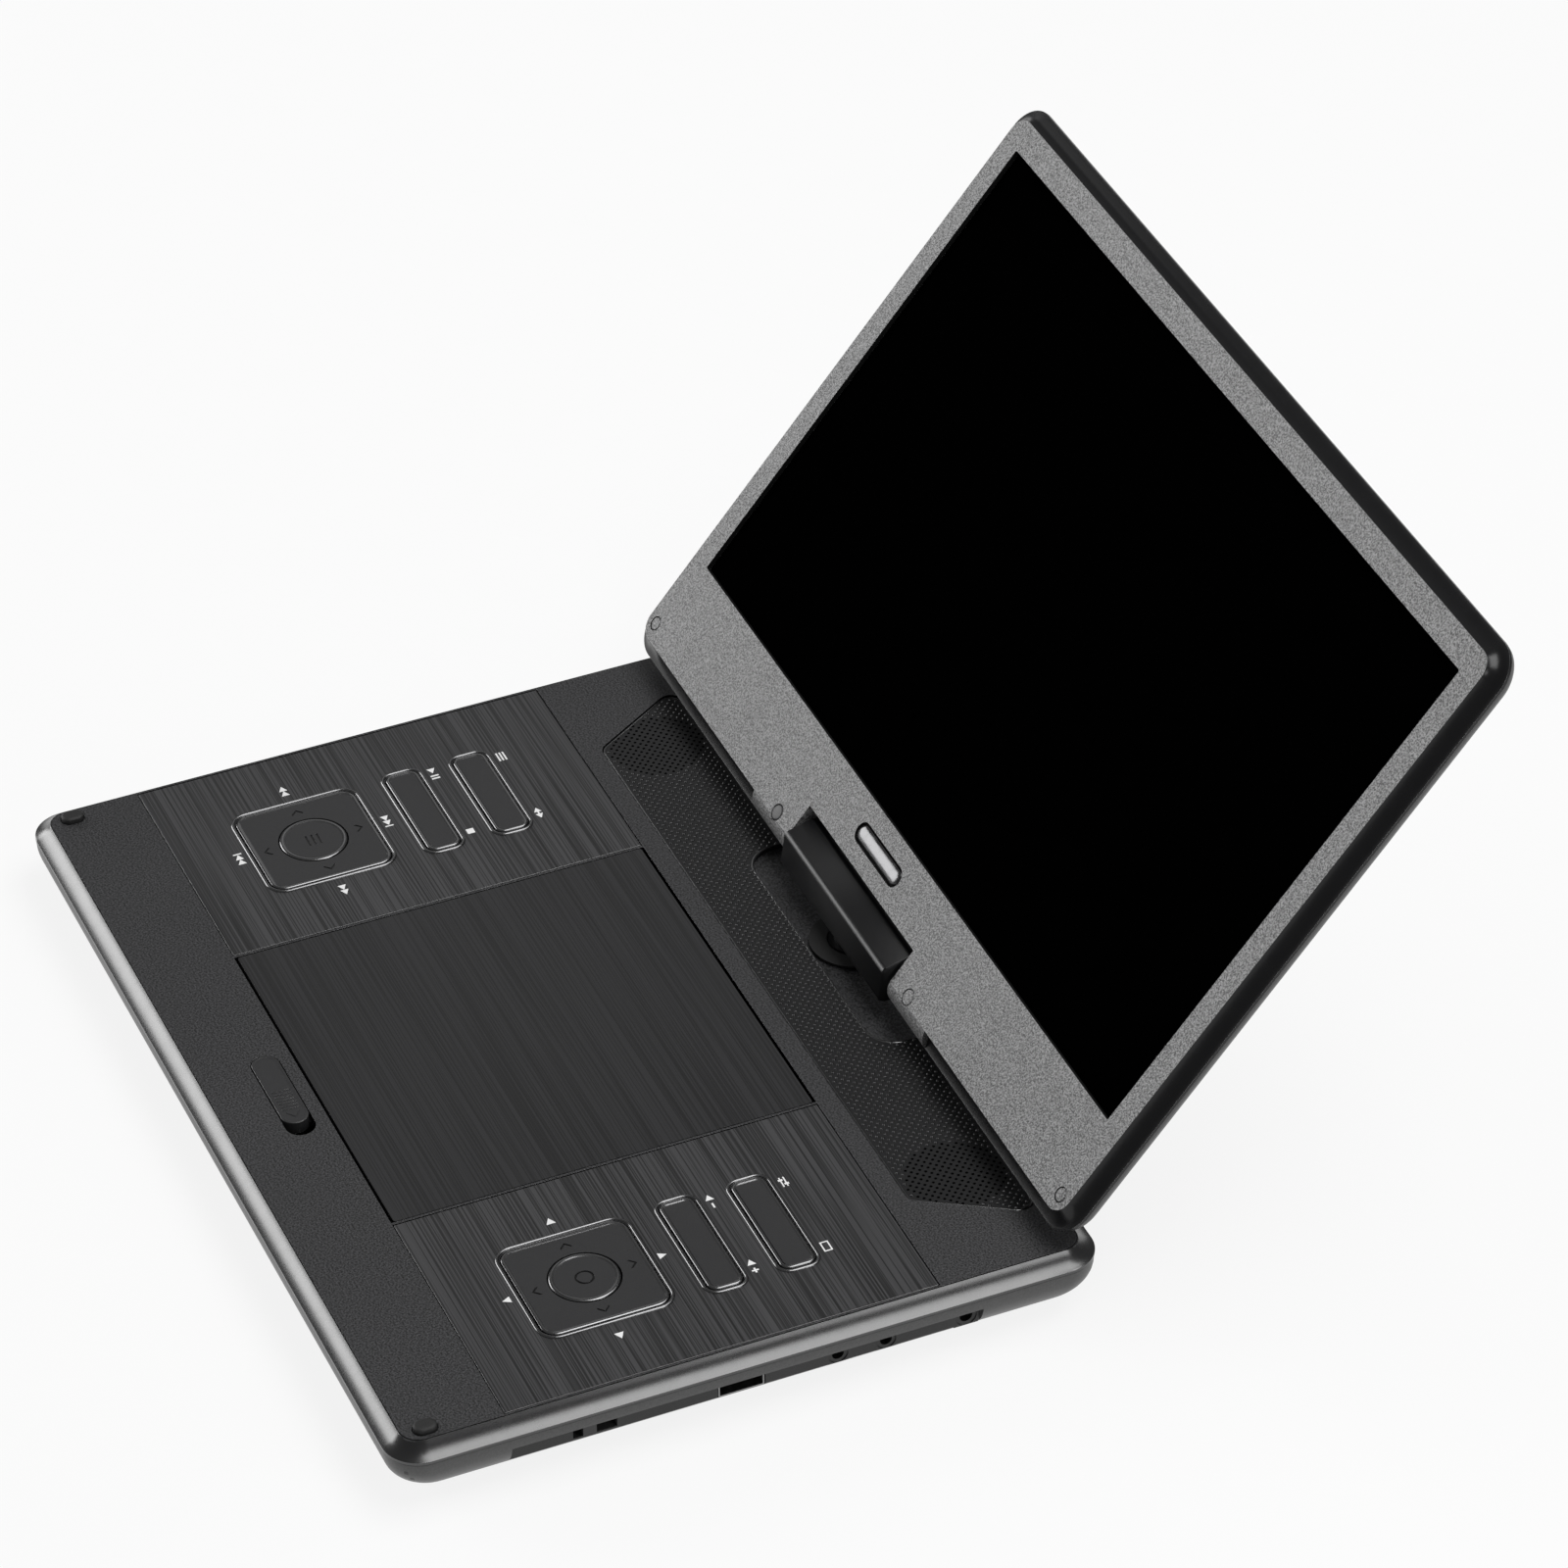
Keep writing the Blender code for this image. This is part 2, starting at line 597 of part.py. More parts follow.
def make_deck_pieces(shop, base):
    """Key panels, grille, bumpers, feet and case screws."""
    half = LID_WIDTH / 2
    top = DECK_Z - PANEL_SINK
    for side, label in ((-1, "left"), (1, "right")):
        edges = sorted((side * (half + 0.8 + PANEL_GROOVE),
                        side * (FLAT_HALF_WIDTH - PANEL_LIP - PANEL_GROOVE)))
        panel = shop.box(f"{label}_key_panel", edges,
                         (BAND_FRONT + PANEL_GROOVE, BAND_REAR - PANEL_GROOVE),
                         (top - PANEL_THICKNESS, top), "brushed_black", base)
        for number, hole in enumerate(key_hole_outlines(side)):
            shop.cut(panel, shop.prism(f"{label}_panel_hole_{number}", hole, DECK_UNDER, DECK_Z + 2,
                                       None, base))
        shop.prism(f"{label}_bumper", bumper_outline(side * BUMPER_X, -0.1),
                   DECK_Z - BUMPER_SINK + GAP, DECK_Z + BUMPER_PROUD, "rubber_black", base)
    grille_top = DECK_Z - GRILLE_SINK
    grille = shop.prism("rear_grille", grille_outline(GAP), grille_top - GRILLE_THICKNESS, grille_top,
                        "matte_black", base)
    shop.cut(grille, shop.prism("grille_pocket", pocket_outline(GAP), DECK_UNDER, DECK_Z + 2, None, base))
    for side in (-1, 1):
        for column in range(SOUND_HOLE_COLUMNS):
            for row in range(SOUND_HOLE_ROWS):
                x = side * SPEAKER_X + (column - (SOUND_HOLE_COLUMNS - 1) / 2) * SOUND_HOLE_PITCH
                y = SPEAKER_Y + (row - (SOUND_HOLE_ROWS - 1) / 2) * SOUND_HOLE_PITCH
                hole = shop.rod(f"sound_hole_{side}_{column}_{row}", (x, y, DECK_UNDER),
                                (x, y, DECK_Z + 2), SOUND_HOLE_RADIUS, None, base, steps=6)
                shop.cut(grille, hole)
    foot_top = FOOT_HEIGHT - GAP
    for end, y in (("front", DECK_FRONT + FOOT_FROM_FRONT), ("rear", DECK_REAR - FOOT_FROM_REAR)):
        for label, x in (("left", -FOOT_X), ("right", FOOT_X)):
            shop.turned(f"foot_{end}_{label}",
                        [(0, foot_top), (FOOT_RADIUS, foot_top), (FOOT_TIP_RADIUS, 0), (0, 0)],
                        "rubber_black", base, (x, y, 0))
    for name, (x, y) in SCREWS.items():
        low = FOOT_HEIGHT + 0.1
        tip = low + SCREW_LENGTH
        shop.turned(name, [(0, tip), (SCREW_SHANK_RADIUS, tip),
                           (SCREW_SHANK_RADIUS, low + SCREW_HEAD_HEIGHT),
                           (SCREW_HEAD_RADIUS, low + SCREW_HEAD_HEIGHT - 0.2),
                           (SCREW_HEAD_RADIUS, low), (0, low)], "steel", base, (x, y, 0), steps=16)


def make_keys(shop, base):
    """Four-way pads with their centre buttons, and the rocker keys."""
    for side, label in ((-1, "left"), (1, "right")):
        x = side * KEY_X
        place = (x, PAD_Y, DECK_Z)
        half = PAD_SIZE / 2
        shoulder = DECK_UNDER - GAP - 0.4
        wide = rounded_rect(x - half - KEY_FLANGE, x + half + KEY_FLANGE, PAD_Y - half - KEY_FLANGE,
                            PAD_Y + half + KEY_FLANGE, PAD_CORNER)
        face = rounded_rect(x - half, x + half, PAD_Y - half, PAD_Y + half, PAD_CORNER)
        pad = shop.skin(f"{label}_nav_pad", [at_height(wide, shoulder - 1.1), at_height(wide, shoulder),
                                             at_height(face, shoulder),
                                             at_height(face, DECK_Z + PAD_PROUD)],
                        "key_black", base, origin=place)
        shop.cut(pad, shop.rod(f"{label}_pad_bore", (x, PAD_Y, CASE_TOP - 4), (x, PAD_Y, DECK_Z + 4),
                               CENTRE_RADIUS + KEY_GAP, None, base, steps=32))
        low = shoulder - 1.1 - PAD_TRAVEL - 0.5 - DECK_Z
        shop.turned(f"{label}_nav_button",
                    [(0, PAD_PROUD + 0.1), (CENTRE_RADIUS, PAD_PROUD + 0.1), (CENTRE_RADIUS, low),
                     (CENTRE_RADIUS + KEY_FLANGE, low), (CENTRE_RADIUS + KEY_FLANGE, low - 1.2),
                     (0, low - 1.2)], "key_black", base, place, steps=32)
        for number, offset in enumerate(ROCKER_FROM_FRONT):
            y = BAND_FRONT + offset
            key_half = ROCKER_LENGTH / 2
            key_side = ROCKER_WIDTH / 2
            face = rounded_rect(x - key_half, x + key_half, y - key_side, y + key_side, ROCKER_CORNER)
            wide = rounded_rect(x - key_half - 1.0, x + key_half + 1.0, y - key_side - 1.0,
                                y + key_side + 1.0, ROCKER_CORNER)
            ledge = DECK_UNDER - 1.2
            shop.skin(f"{label}_rocker_{'front' if number == 0 else 'rear'}",
                      [at_height(wide, ledge - 1.2), at_height(wide, ledge), at_height(face, ledge),
                       at_height(face, DECK_Z + ROCKER_PROUD)], "key_black", base,
                      origin=(x, y, DECK_Z - ROCKER_PIVOT_DROP))


def make_lid(shop, base):
    """Disc lid with its hinge arms and pins, turning about a line under its rear edge."""
    axis = (0, LID_AXIS_Y, LID_AXIS_Z)
    half = LID_WIDTH / 2 - LID_SIDE_GAP
    top = DECK_Z - PANEL_SINK
    plate = rounded_rect(-half, half, BAND_FRONT + LID_END_GAP, BAND_REAR - LID_END_GAP, 0.8, 2)
    lid = shop.prism("disc_lid", plate, top - LID_THICKNESS, top, "brushed_black", base, origin=axis)
    under = top - LID_THICKNESS + 0.5
    arm_outer = LID_ARM_INNER + LID_ARM_WIDTH
    for side, label in ((-1, "left"), (1, "right")):
        x_low, x_high = sorted((side * LID_ARM_INNER, side * arm_outer))
        arm = shop.box(f"{label}_lid_arm", (x_low + 0.05, x_high - 0.05),
                       (LID_AXIS_Y - LID_BARREL_RADIUS + 0.02, LID_AXIS_Y + LID_BARREL_RADIUS - 0.02),
                       (LID_AXIS_Z, under), None, base)
        barrel = shop.rod(f"{label}_lid_barrel", (x_low, LID_AXIS_Y, LID_AXIS_Z),
                          (x_high, LID_AXIS_Y, LID_AXIS_Z), LID_BARREL_RADIUS, None, base, steps=16)
        pin = shop.rod(f"{label}_lid_pin", (side * (arm_outer - 1), LID_AXIS_Y, LID_AXIS_Z),
                       (side * (arm_outer + 4), LID_AXIS_Y, LID_AXIS_Z), LID_PIN_RADIUS, None, base,
                       steps=12)
        shop.join(lid, arm, barrel, pin)
    tongue = shop.box("lid_tongue", (-4, 3), (BAND_FRONT + LID_END_GAP + 0.4, BAND_FRONT + 3.4),
                      (WELL_Z + 1.6, under), None, base)
    shop.join(lid, tongue)


def make_slider(shop, base):
    """Lid release: a ribbed thumb piece, its plate under the deck and the return spring."""
    origin = (SLIDER_X, SLIDER_Y, DECK_Z)
    face = slider_outline(SLIDER_LENGTH, SLIDER_WIDTH, SLIDER_X)
    slider = shop.prism("open_slider", face, DECK_UNDER - 1.0, DECK_Z + SLIDER_PROUD, "matte_black",
                        base, origin=origin)
    plate_top = DECK_UNDER - GAP
    right = SLIDER_X + SLIDER_LENGTH / 2 - 2.5
    plate = shop.box("slider_plate", (SLIDER_X - SLIDER_LENGTH / 2 + 2.5, right),
                     (SLIDER_Y - 5.6, SLIDER_Y + 5.6), (plate_top - 1.6, plate_top), None, base)
    finger = shop.box("slider_finger", (right - 5, right - 0.2), (SLIDER_Y, BAND_FRONT + 3.2),
                      (plate_top - 1.4, plate_top - 0.4), None, base)
    tab = shop.box("spring_tab", (right - 1.2, right - 0.1), (SLIDER_Y - 2.2, SLIDER_Y + 2.2),
                   (plate_top - 4.6, plate_top - 1.4), None, base)
    shop.join(slider, plate, finger, tab)
    for number in range(6):
        x = SLIDER_X + (number - 1) * 1.9
        groove = shop.box(f"slider_groove_{number}", (x, x + 0.8), (SLIDER_Y - 2.6, SLIDER_Y + 2.6),
                          (DECK_Z + SLIDER_PROUD - 0.35, DECK_Z + 2), None, base)
        shop.cut(slider, groove)
    make_spring(shop, base, right + GAP, SPRING_LENGTH, SLIDER_Y, plate_top - 3.0)


def make_spring(shop, base, x0, length, y, z):
    """A small compression spring along X, as a helix of round wire."""
    curve = bpy.data.curves.new("slider_spring", "CURVE")
    curve.dimensions = "3D"
    curve.bevel_depth = SPRING_WIRE * MM
    curve.bevel_resolution = 1
    curve.use_fill_caps = True
    spline = curve.splines.new("POLY")
    count = SPRING_TURNS * SPRING_STEPS
    spline.points.add(count)
    run = length - 2 * SPRING_WIRE
    for i in range(count + 1):
        angle = math.tau * i / SPRING_STEPS
        spline.points[i].co = ((x0 + SPRING_WIRE + run * i / count) * MM,
                               (y + SPRING_RADIUS * math.cos(angle)) * MM,
                               (z + SPRING_RADIUS * math.sin(angle)) * MM, 1)
    spring = bpy.data.objects.new("slider_spring", curve)
    spring.parent = base
    curve.materials.append(shop.finishes["steel"])
    shop.parts.objects.link(spring)


def make_disc_well(shop, base):
    """Tray under the lid: floor, outer wall, the ring around the disc and the lid's hinge lugs."""
    out = LID_WIDTH / 2 + 3.0
    front = BAND_FRONT - 2.4
    swing = math.hypot(LID_AXIS_INSET - LID_END_GAP, LID_AXIS_DROP) + LID_SWING_GAP
    rear = LID_AXIS_Y + swing + 0.4 + WELL_WALL
    top = DECK_UNDER - GAP
    outer = rounded_rect(-out, out, front, rear, 2.0, 2)
    inner = rounded_rect(-out + WELL_WALL, out - WELL_WALL, front + WELL_WALL, rear - WELL_WALL, 1.0, 2)
    well = shop.skin("disc_well", [at_height(outer, WELL_Z - WELL_WALL), at_height(outer, top),
                                   at_height(inner, top), at_height(inner, WELL_Z)],
                     "matte_black", base)
    ring_top = WELL_Z + WELL_RING_HEIGHT
    ring = shop.skin("disc_ring", [at_height(circle(0, DISC_Y, DISC_WELL_RADIUS, 48), WELL_Z - 0.5),
                                   at_height(circle(0, DISC_Y, DISC_WELL_RADIUS, 48), ring_top),
                                   at_height(circle(0, DISC_Y, DISC_WELL_RADIUS + WELL_RING, 48), ring_top),
                                   at_height(circle(0, DISC_Y, DISC_WELL_RADIUS + WELL_RING, 48),
                                             WELL_Z - 0.5)],
                     None, base, looped=True)
    shop.join(well, ring)
    pin_end = LID_ARM_INNER + LID_ARM_WIDTH
    for side, label in ((-1, "left"), (1, "right")):
        x_low, x_high = sorted((side * (pin_end + 1.0), side * (pin_end + 3.5)))
        lug = shop.rod(f"{label}_lug", (x_low, LID_AXIS_Y, LID_AXIS_Z), (x_high, LID_AXIS_Y, LID_AXIS_Z),
                       2.9, None, base, steps=16)
        foot = shop.box(f"{label}_lug_foot", (x_low + 0.05, x_high - 0.05),
                        (LID_AXIS_Y - 2.5, LID_AXIS_Y + 2.5), (WELL_Z - 0.5, LID_AXIS_Z), None, base)
        bore = shop.rod(f"{label}_lug_bore", (x_low - 1, LID_AXIS_Y, LID_AXIS_Z),
                        (x_high + 1, LID_AXIS_Y, LID_AXIS_Z), LID_PIN_RADIUS + 0.2, None, base, steps=12)
        shop.join(well, lug, foot)
        shop.cut(well, bore)
    shop.cut(well, shop.rod("hub_hole", (0, DISC_Y, WELL_Z - 4), (0, DISC_Y, WELL_Z + 1),
                            HUB_RADIUS + 0.8, None, base))
    lens_end = PICKUP_REST + PICKUP_TRAVEL + LENS_RADIUS + LENS_GAP
    window_half = LENS_RADIUS + LENS_GAP + 2.0
    shop.cut(well, shop.box("lens_window", (4, lens_end), (DISC_Y - window_half, DISC_Y + window_half),
                            (WELL_Z - 4, WELL_Z + 1), None, base))
    right = SLIDER_X + SLIDER_LENGTH / 2
    shop.cut(well, shop.box("latch_notch", (-8, right + 6), (BAND_FRONT - 1.0, BAND_FRONT + 6),
                            (WELL_Z + 0.7, DECK_Z), None, base))
    shop.cut(well, shop.box("finger_notch", (right - 9, right + 7), (front - 1, front + WELL_WALL + 1),
                            (DECK_UNDER - 3.2, DECK_Z), None, base))


def make_drive(shop, base):
    """Traverse chassis on its dampers, motors, hub, pickup, guide rods and feed screw."""
    plate_top = DECK_Z - CHASSIS_DROP
    plate_low = plate_top - CHASSIS_PLATE
    rod_z = DECK_Z - ROD_DROP
    x_left = -MOTOR_RADIUS - 28.0
    window = (MOTOR_RADIUS + 0.5, PICKUP_REST + PICKUP_TRAVEL + PICKUP_LENGTH / 2 + 2.5)
    x_right = window[1] + 6.0
    half_y = SCREW_OFFSET + 9.0
    chassis = shop.box("traverse_chassis", (x_left, x_right), (DISC_Y - half_y, DISC_Y + half_y),
                       (plate_low, plate_top), "steel", base)
    shop.cut(chassis, shop.box("pickup_window", window,
                               (DISC_Y - PICKUP_DEPTH / 2 - 1.5, DISC_Y + PICKUP_DEPTH / 2 + 1.5),
                               (plate_low - 2, plate_top + 2), None, base))
    rod_ends = (window[0] - 3.0, window[1] + 3.0)
    for row, label in ((-1, "front"), (1, "rear")):
        y = DISC_Y + row * ROD_SPACING / 2
        for end, x in enumerate((rod_ends[0] - 0.5, window[1] + 0.5)):
            holder = shop.box(f"{label}_rod_holder_{end}", (x, x + 3.0), (y - 3, y + 3),
                              (plate_low + 0.2, rod_z + 2.6), None, base)
            shop.join(chassis, holder)
    motor_x = window[1] + 0.8
    screw_y = DISC_Y - SCREW_OFFSET
    shop.cut(chassis, shop.box("motor_notch", (motor_x - 0.5, x_right + 1), (screw_y - 5.5, screw_y + 5.5),
                               (plate_low - 2, plate_top + 2), None, base))
    for row, label in ((-1, "front"), (1, "rear")):
        y = DISC_Y + row * ROD_SPACING / 2
        shop.cut(chassis, shop.rod(f"{label}_rod_bore", (rod_ends[0] - 2, y, rod_z),
                                   (rod_ends[1] + 2, y, rod_z), ROD_RADIUS + 0.25, None, base, steps=12))
        shop.rod(f"guide_rod_{label}", (rod_ends[0], y, rod_z), (rod_ends[1], y, rod_z), ROD_RADIUS,
                 "steel", base, steps=12)

    shop.turned("spindle_motor", [(0, 4.4), (4.0, 4.4), (4.0, 3.6), (MOTOR_RADIUS, 3.6),
                                  (MOTOR_RADIUS, 0), (0, 0)],
                "steel", base, (0, DISC_Y, plate_top + GAP))
    hub_low = plate_top + GAP + 4.4 + GAP
    flange_low = WELL_Z + GAP
    shop.turned("spindle_hub",
                [(0, flange_low + 3.6), (HUB_CONE_RADIUS - 2.2, flange_low + 3.6),
                 (HUB_CONE_RADIUS, flange_low + 2.4), (HUB_CONE_RADIUS, flange_low + 1.2),
                 (HUB_RADIUS, flange_low + 1.2), (HUB_RADIUS, flange_low), (3.0, flange_low),
                 (3.0, hub_low), (0, hub_low)], "matte_black", base, (0, DISC_Y, 0))

    pickup_top = WELL_Z - WELL_WALL - 0.4
    length = (PICKUP_REST - PICKUP_LENGTH / 2, PICKUP_REST + PICKUP_LENGTH / 2)
    pickup = shop.box("laser_pickup", length, (DISC_Y - PICKUP_DEPTH / 2, DISC_Y + PICKUP_DEPTH / 2),
                      (plate_low - 1.2, pickup_top), "socket_black", base,
                      origin=(PICKUP_REST, DISC_Y, rod_z))
    lens = shop.rod("lens_turret", (PICKUP_REST, DISC_Y, pickup_top - 1), (PICKUP_REST, DISC_Y, WELL_Z - 0.1),
                    LENS_RADIUS, None, base, steps=16)
    nut = shop.box("nut_arm", (PICKUP_REST - 5, PICKUP_REST + 5),
                   (screw_y + ROD_RADIUS + GAP, DISC_Y - PICKUP_DEPTH / 2 + 1),
                   (rod_z - 1.5, rod_z + 1.5), None, base)
    shop.join(pickup, lens, nut)
    for row, label in ((-1, "front"), (1, "rear")):
        y = DISC_Y + row * ROD_SPACING / 2
        shop.cut(pickup, shop.rod(f"{label}_pickup_bore", (length[0] - 2, y, rod_z),
                                  (length[1] + 2, y, rod_z), ROD_RADIUS + 0.25, None, base, steps=12))

    shop.rod("sled_motor", (motor_x, screw_y, rod_z), (motor_x + 11, screw_y, rod_z), 4.8, "steel", base,
             steps=20)
    make_feed_screw(shop, base, window[0] + 1.5, motor_x - GAP, screw_y, rod_z)
    for label, x, y in (("left_front", x_left + 6, DISC_Y - half_y + 6),
                        ("left_rear", x_left + 6, DISC_Y + half_y - 6),
                        ("right_rear", x_right - 6, DISC_Y + half_y - 6)):
        floor = FOOT_HEIGHT + CASE_FLOOR + GAP
        height = plate_low - GAP - floor
        shop.turned(f"damper_{label}", [(1.5, height), (4.2, height), (3.2, height / 2), (4.2, 0), (1.5, 0)],
                    "rubber_black", base, (x, y, floor), steps=16)


def make_feed_screw(shop, base, x0, x1, y, z):
    """Feed screw with a grooved thread between two plain ends."""
    pitch = 3.0
    stations = [(x0, ROD_RADIUS - 0.4), (x0 + 2, ROD_RADIUS - 0.4)]
    x = x0 + 2
    while x + pitch < x1 - 2:
        stations += [(x + 0.2, ROD_RADIUS), (x + pitch - 0.8, ROD_RADIUS), (x + pitch - 0.4, ROD_RADIUS - 0.4)]
        x += pitch
    stations.append((x1, ROD_RADIUS - 0.4))
    rings = [[(at, y + radius * math.cos(math.tau * i / 8), z + radius * math.sin(math.tau * i / 8))
              for i in range(8)] for at, radius in stations]
    shop.skin("feed_screw", rings, "bright_metal", base, origin=((x0 + x1) / 2, y, z))


def make_electronics(shop, base):
    """Circuit boards, battery, speakers and the right-hand sockets."""
    board_top = DECK_UNDER - 1.5 - 1.1 - PAD_TRAVEL - 0.5 - 1.2 - 0.8
    board_low = board_top - BOARD_THICKNESS
    wall = FLAT_HALF_WIDTH + COVE_WIDTH - CASE_WALL - BOARD_WALL_GAP
    rows = (BAND_FRONT + BOARD_FRONT_GAP, BAND_REAR - BOARD_REAR_GAP)
    inner_edge = -LID_WIDTH / 2 - BOARD_LID_GAP
    board = shop.box("main_board", (-wall, inner_edge), rows, (board_low, board_top), "board_green", base)
    for number, (inward, share, wide, deep, tall) in enumerate(CHIPS):
        x = inner_edge - inward
        y = rows[0] + share * (rows[1] - rows[0])
        shop.join(board, shop.box(f"chip_{number}", (x - wide / 2, x + wide / 2),
                                  (y - deep / 2, y + deep / 2), (board_low - tall, board_low + 0.4),
                                  None, base))
    x_key = PICKUP_REST + PICKUP_TRAVEL + PICKUP_LENGTH / 2 + BOARD_DRIVE_GAP
    key_edge = JACK_RECESS_X - BOARD_SOCKET_GAP
    shop.prism("key_board", rounded_rect(x_key, key_edge, *rows, 1.0, 1), board_low, board_top,
               "board_green", base)
    floor = FOOT_HEIGHT + CASE_FLOOR + GAP
    cell = rounded_rect(x_key + 2, key_edge - 4, DISC_Y - BATTERY_FRONT, DISC_Y + BATTERY_REAR, 3.0, 3)
    shop.prism("battery_pack", cell, floor, board_low - BATTERY_GAP, "battery_wrap", base)
    for side, label in ((-1, "left"), (1, "right")):
        top = DECK_UNDER - GAP
        shop.turned(f"{label}_speaker",
                    [(0, top - 2.2), (3.0, top - 2.2), (SPEAKER_RADIUS - 2.5, top - 0.6),
                     (SPEAKER_RADIUS - 2.0, top), (SPEAKER_RADIUS, top), (SPEAKER_RADIUS, top - 1.0),
                     (SPEAKER_MAGNET_RADIUS, top - SPEAKER_BASKET),
                     (SPEAKER_MAGNET_RADIUS, top - SPEAKER_DEPTH), (0, top - SPEAKER_DEPTH)],
                    "socket_black", base, (side * SPEAKER_X, SPEAKER_Y, 0), steps=20)
    make_sockets(shop, base)


def make_sockets(shop, base):
    z = DECK_Z - JACK_HEIGHT_DROP
    face = JACK_RECESS_X - SOCKET_SINK
    for name, hole in (("dc_jack", 1.9), ("headphone_jack", 1.75), ("av_jack", 1.75)):
        y, half_y, half_z = SOCKETS[name]
        body = shop.box(name, (face - JACK_DEPTH, face), (y - half_y, y + half_y),
                        (z - half_z, z + half_z), "socket_black", base)
        shop.cut(body, shop.rod(f"{name}_bore", (face - JACK_DEPTH + 2, y, z), (face + 1, y, z), hole,
                                None, base, steps=16))
    y, half_y, half_z = SOCKETS["usb_port"]
    port = shop.box("usb_port", (face - USB_DEPTH, face), (y - half_y, y + half_y),
                    (z - half_z, z + half_z), "bright_metal", base)
    shop.cut(port, shop.box("usb_mouth", (face - USB_DEPTH + 1, face + 1),
                            (y - half_y + USB_SHELL, y + half_y - USB_SHELL),
                            (z - half_z + USB_SHELL, z + half_z - USB_SHELL), None, base))
    tongue = shop.box("usb_tongue", (face - USB_DEPTH + 0.5, face - 0.8),
                      (y - half_y + 1.2, y + half_y - 1.2),
                      (z + half_z - 2.6, z + half_z - 0.9), None, base)
    shop.join(port, tongue)
    y, half_y, half_z = SOCKETS["power_switch"]
    thumb = shop.box("power_switch", (face - 1.5, face + 0.9), (y - 3.6, y + 0.2),
                     (z - half_z + 0.1, z + half_z - 0.1), "key_black", base, origin=(face, y, z))
    stem = shop.box("switch_stem", (face - 7, face - 1), (y - 2.6, y - 0.8), (z - 1.0, z + 1.0), None, base)
    shop.join(thumb, stem)


def make_hinge(shop, swivel):
    """Swivelling stand: neck with its shaft, the hinge block on top and the tilt shaft."""
    flange = POCKET_Z + GAP
    block_low = BLOCK_BOTTOM - HINGE_Z
    shop.turned("swivel_shaft",
                [(0, BLOCK_BOTTOM - GAP), (NECK_RADIUS, BLOCK_BOTTOM - GAP), (NECK_RADIUS, flange + 1.0),
                 (NECK_FLANGE_RADIUS, flange + 1.0), (NECK_FLANGE_RADIUS, flange), (SHAFT_RADIUS, flange),
                 (SHAFT_RADIUS, DECK_UNDER - 0.5), (SHAFT_NUT_RADIUS, DECK_UNDER - 0.5),
                 (SHAFT_NUT_RADIUS, SEAM_Z - 0.1), (0, SEAM_Z - 0.1)],
                "steel", swivel, (0, 0, 0))
    section = ((-8.4, block_low), (8.0, block_low), (8.0, 5.5), (2.5, 8.8), (-6.7, 6.4))
    outline = rounded_polygon(section, 0.8, 2)
    rings = [[(x, y, HINGE_Z + z) for y, z in outline] for x in (-BLOCK_HALF, BLOCK_HALF)]
    block = shop.skin("hinge_block", rings, "hinge_black", swivel)
    shop.cut(block, shop.rod("block_bore", (-BLOCK_HALF - 1, 0, HINGE_Z), (BLOCK_HALF + 1, 0, HINGE_Z),
                             HINGE_SHAFT_RADIUS + GAP, None, swivel, steps=16))
    shop.rod("hinge_shaft", (-HINGE_SHAFT_HALF, 0, HINGE_Z), (HINGE_SHAFT_HALF, 0, HINGE_Z),
             HINGE_SHAFT_RADIUS, "steel", swivel, steps=16)


def make_swivel_plate(shop, base):
    """Trim plate around the neck, open at the rear where the deck ends."""
    plate = shop.prism("swivel_plate", circle(0, 0, SWIVEL_PLATE_RADIUS - 0.2, 36), POCKET_Z + GAP,
                       POCKET_Z + GAP + 0.6, "matte_black", base)
    shop.cut(plate, shop.rod("plate_bore", (0, 0, POCKET_Z - 1), (0, 0, DECK_Z + 1),
                             NECK_FLANGE_RADIUS + 0.5, None, base),
             shop.box("plate_rear", (-20, 20), (DECK_REAR + 0.5, 30), (POCKET_Z - 1, DECK_Z + 1), None, base))


def ear_tools(shop, tilt, label, low, high):
    """The two ears of one screen half, between two heights: barrels that run into the frame."""
    tools = []
    for side, name in ((-1, "left"), (1, "right")):
        x = sorted((side * (NOTCH_HALF - 0.5), side * EAR_END))
        barrel = shop.rod(f"{label}_{name}_barrel", (x[0], 0, 0), (x[1], 0, 0), SCREEN_HALF - 0.01, None,
                          tilt, steps=32)
        trim = shop.box(f"{label}_{name}_trim", (x[0] - 1, x[1] + 1), (-20, 20), (low, high), None, tilt)
        step = barrel.modifiers.new("trim", "BOOLEAN")
        step.operation = "INTERSECT"
        step.object = trim
        web = shop.box(f"{label}_{name}_web", x, (0.02, NOTCH_TOP + NOTCH_WALL),
                       (max(low, -SCREEN_HALF + 0.02), min(high, SCREEN_HALF - 0.02)), None, tilt)
        tools += [barrel, web]
    return tools


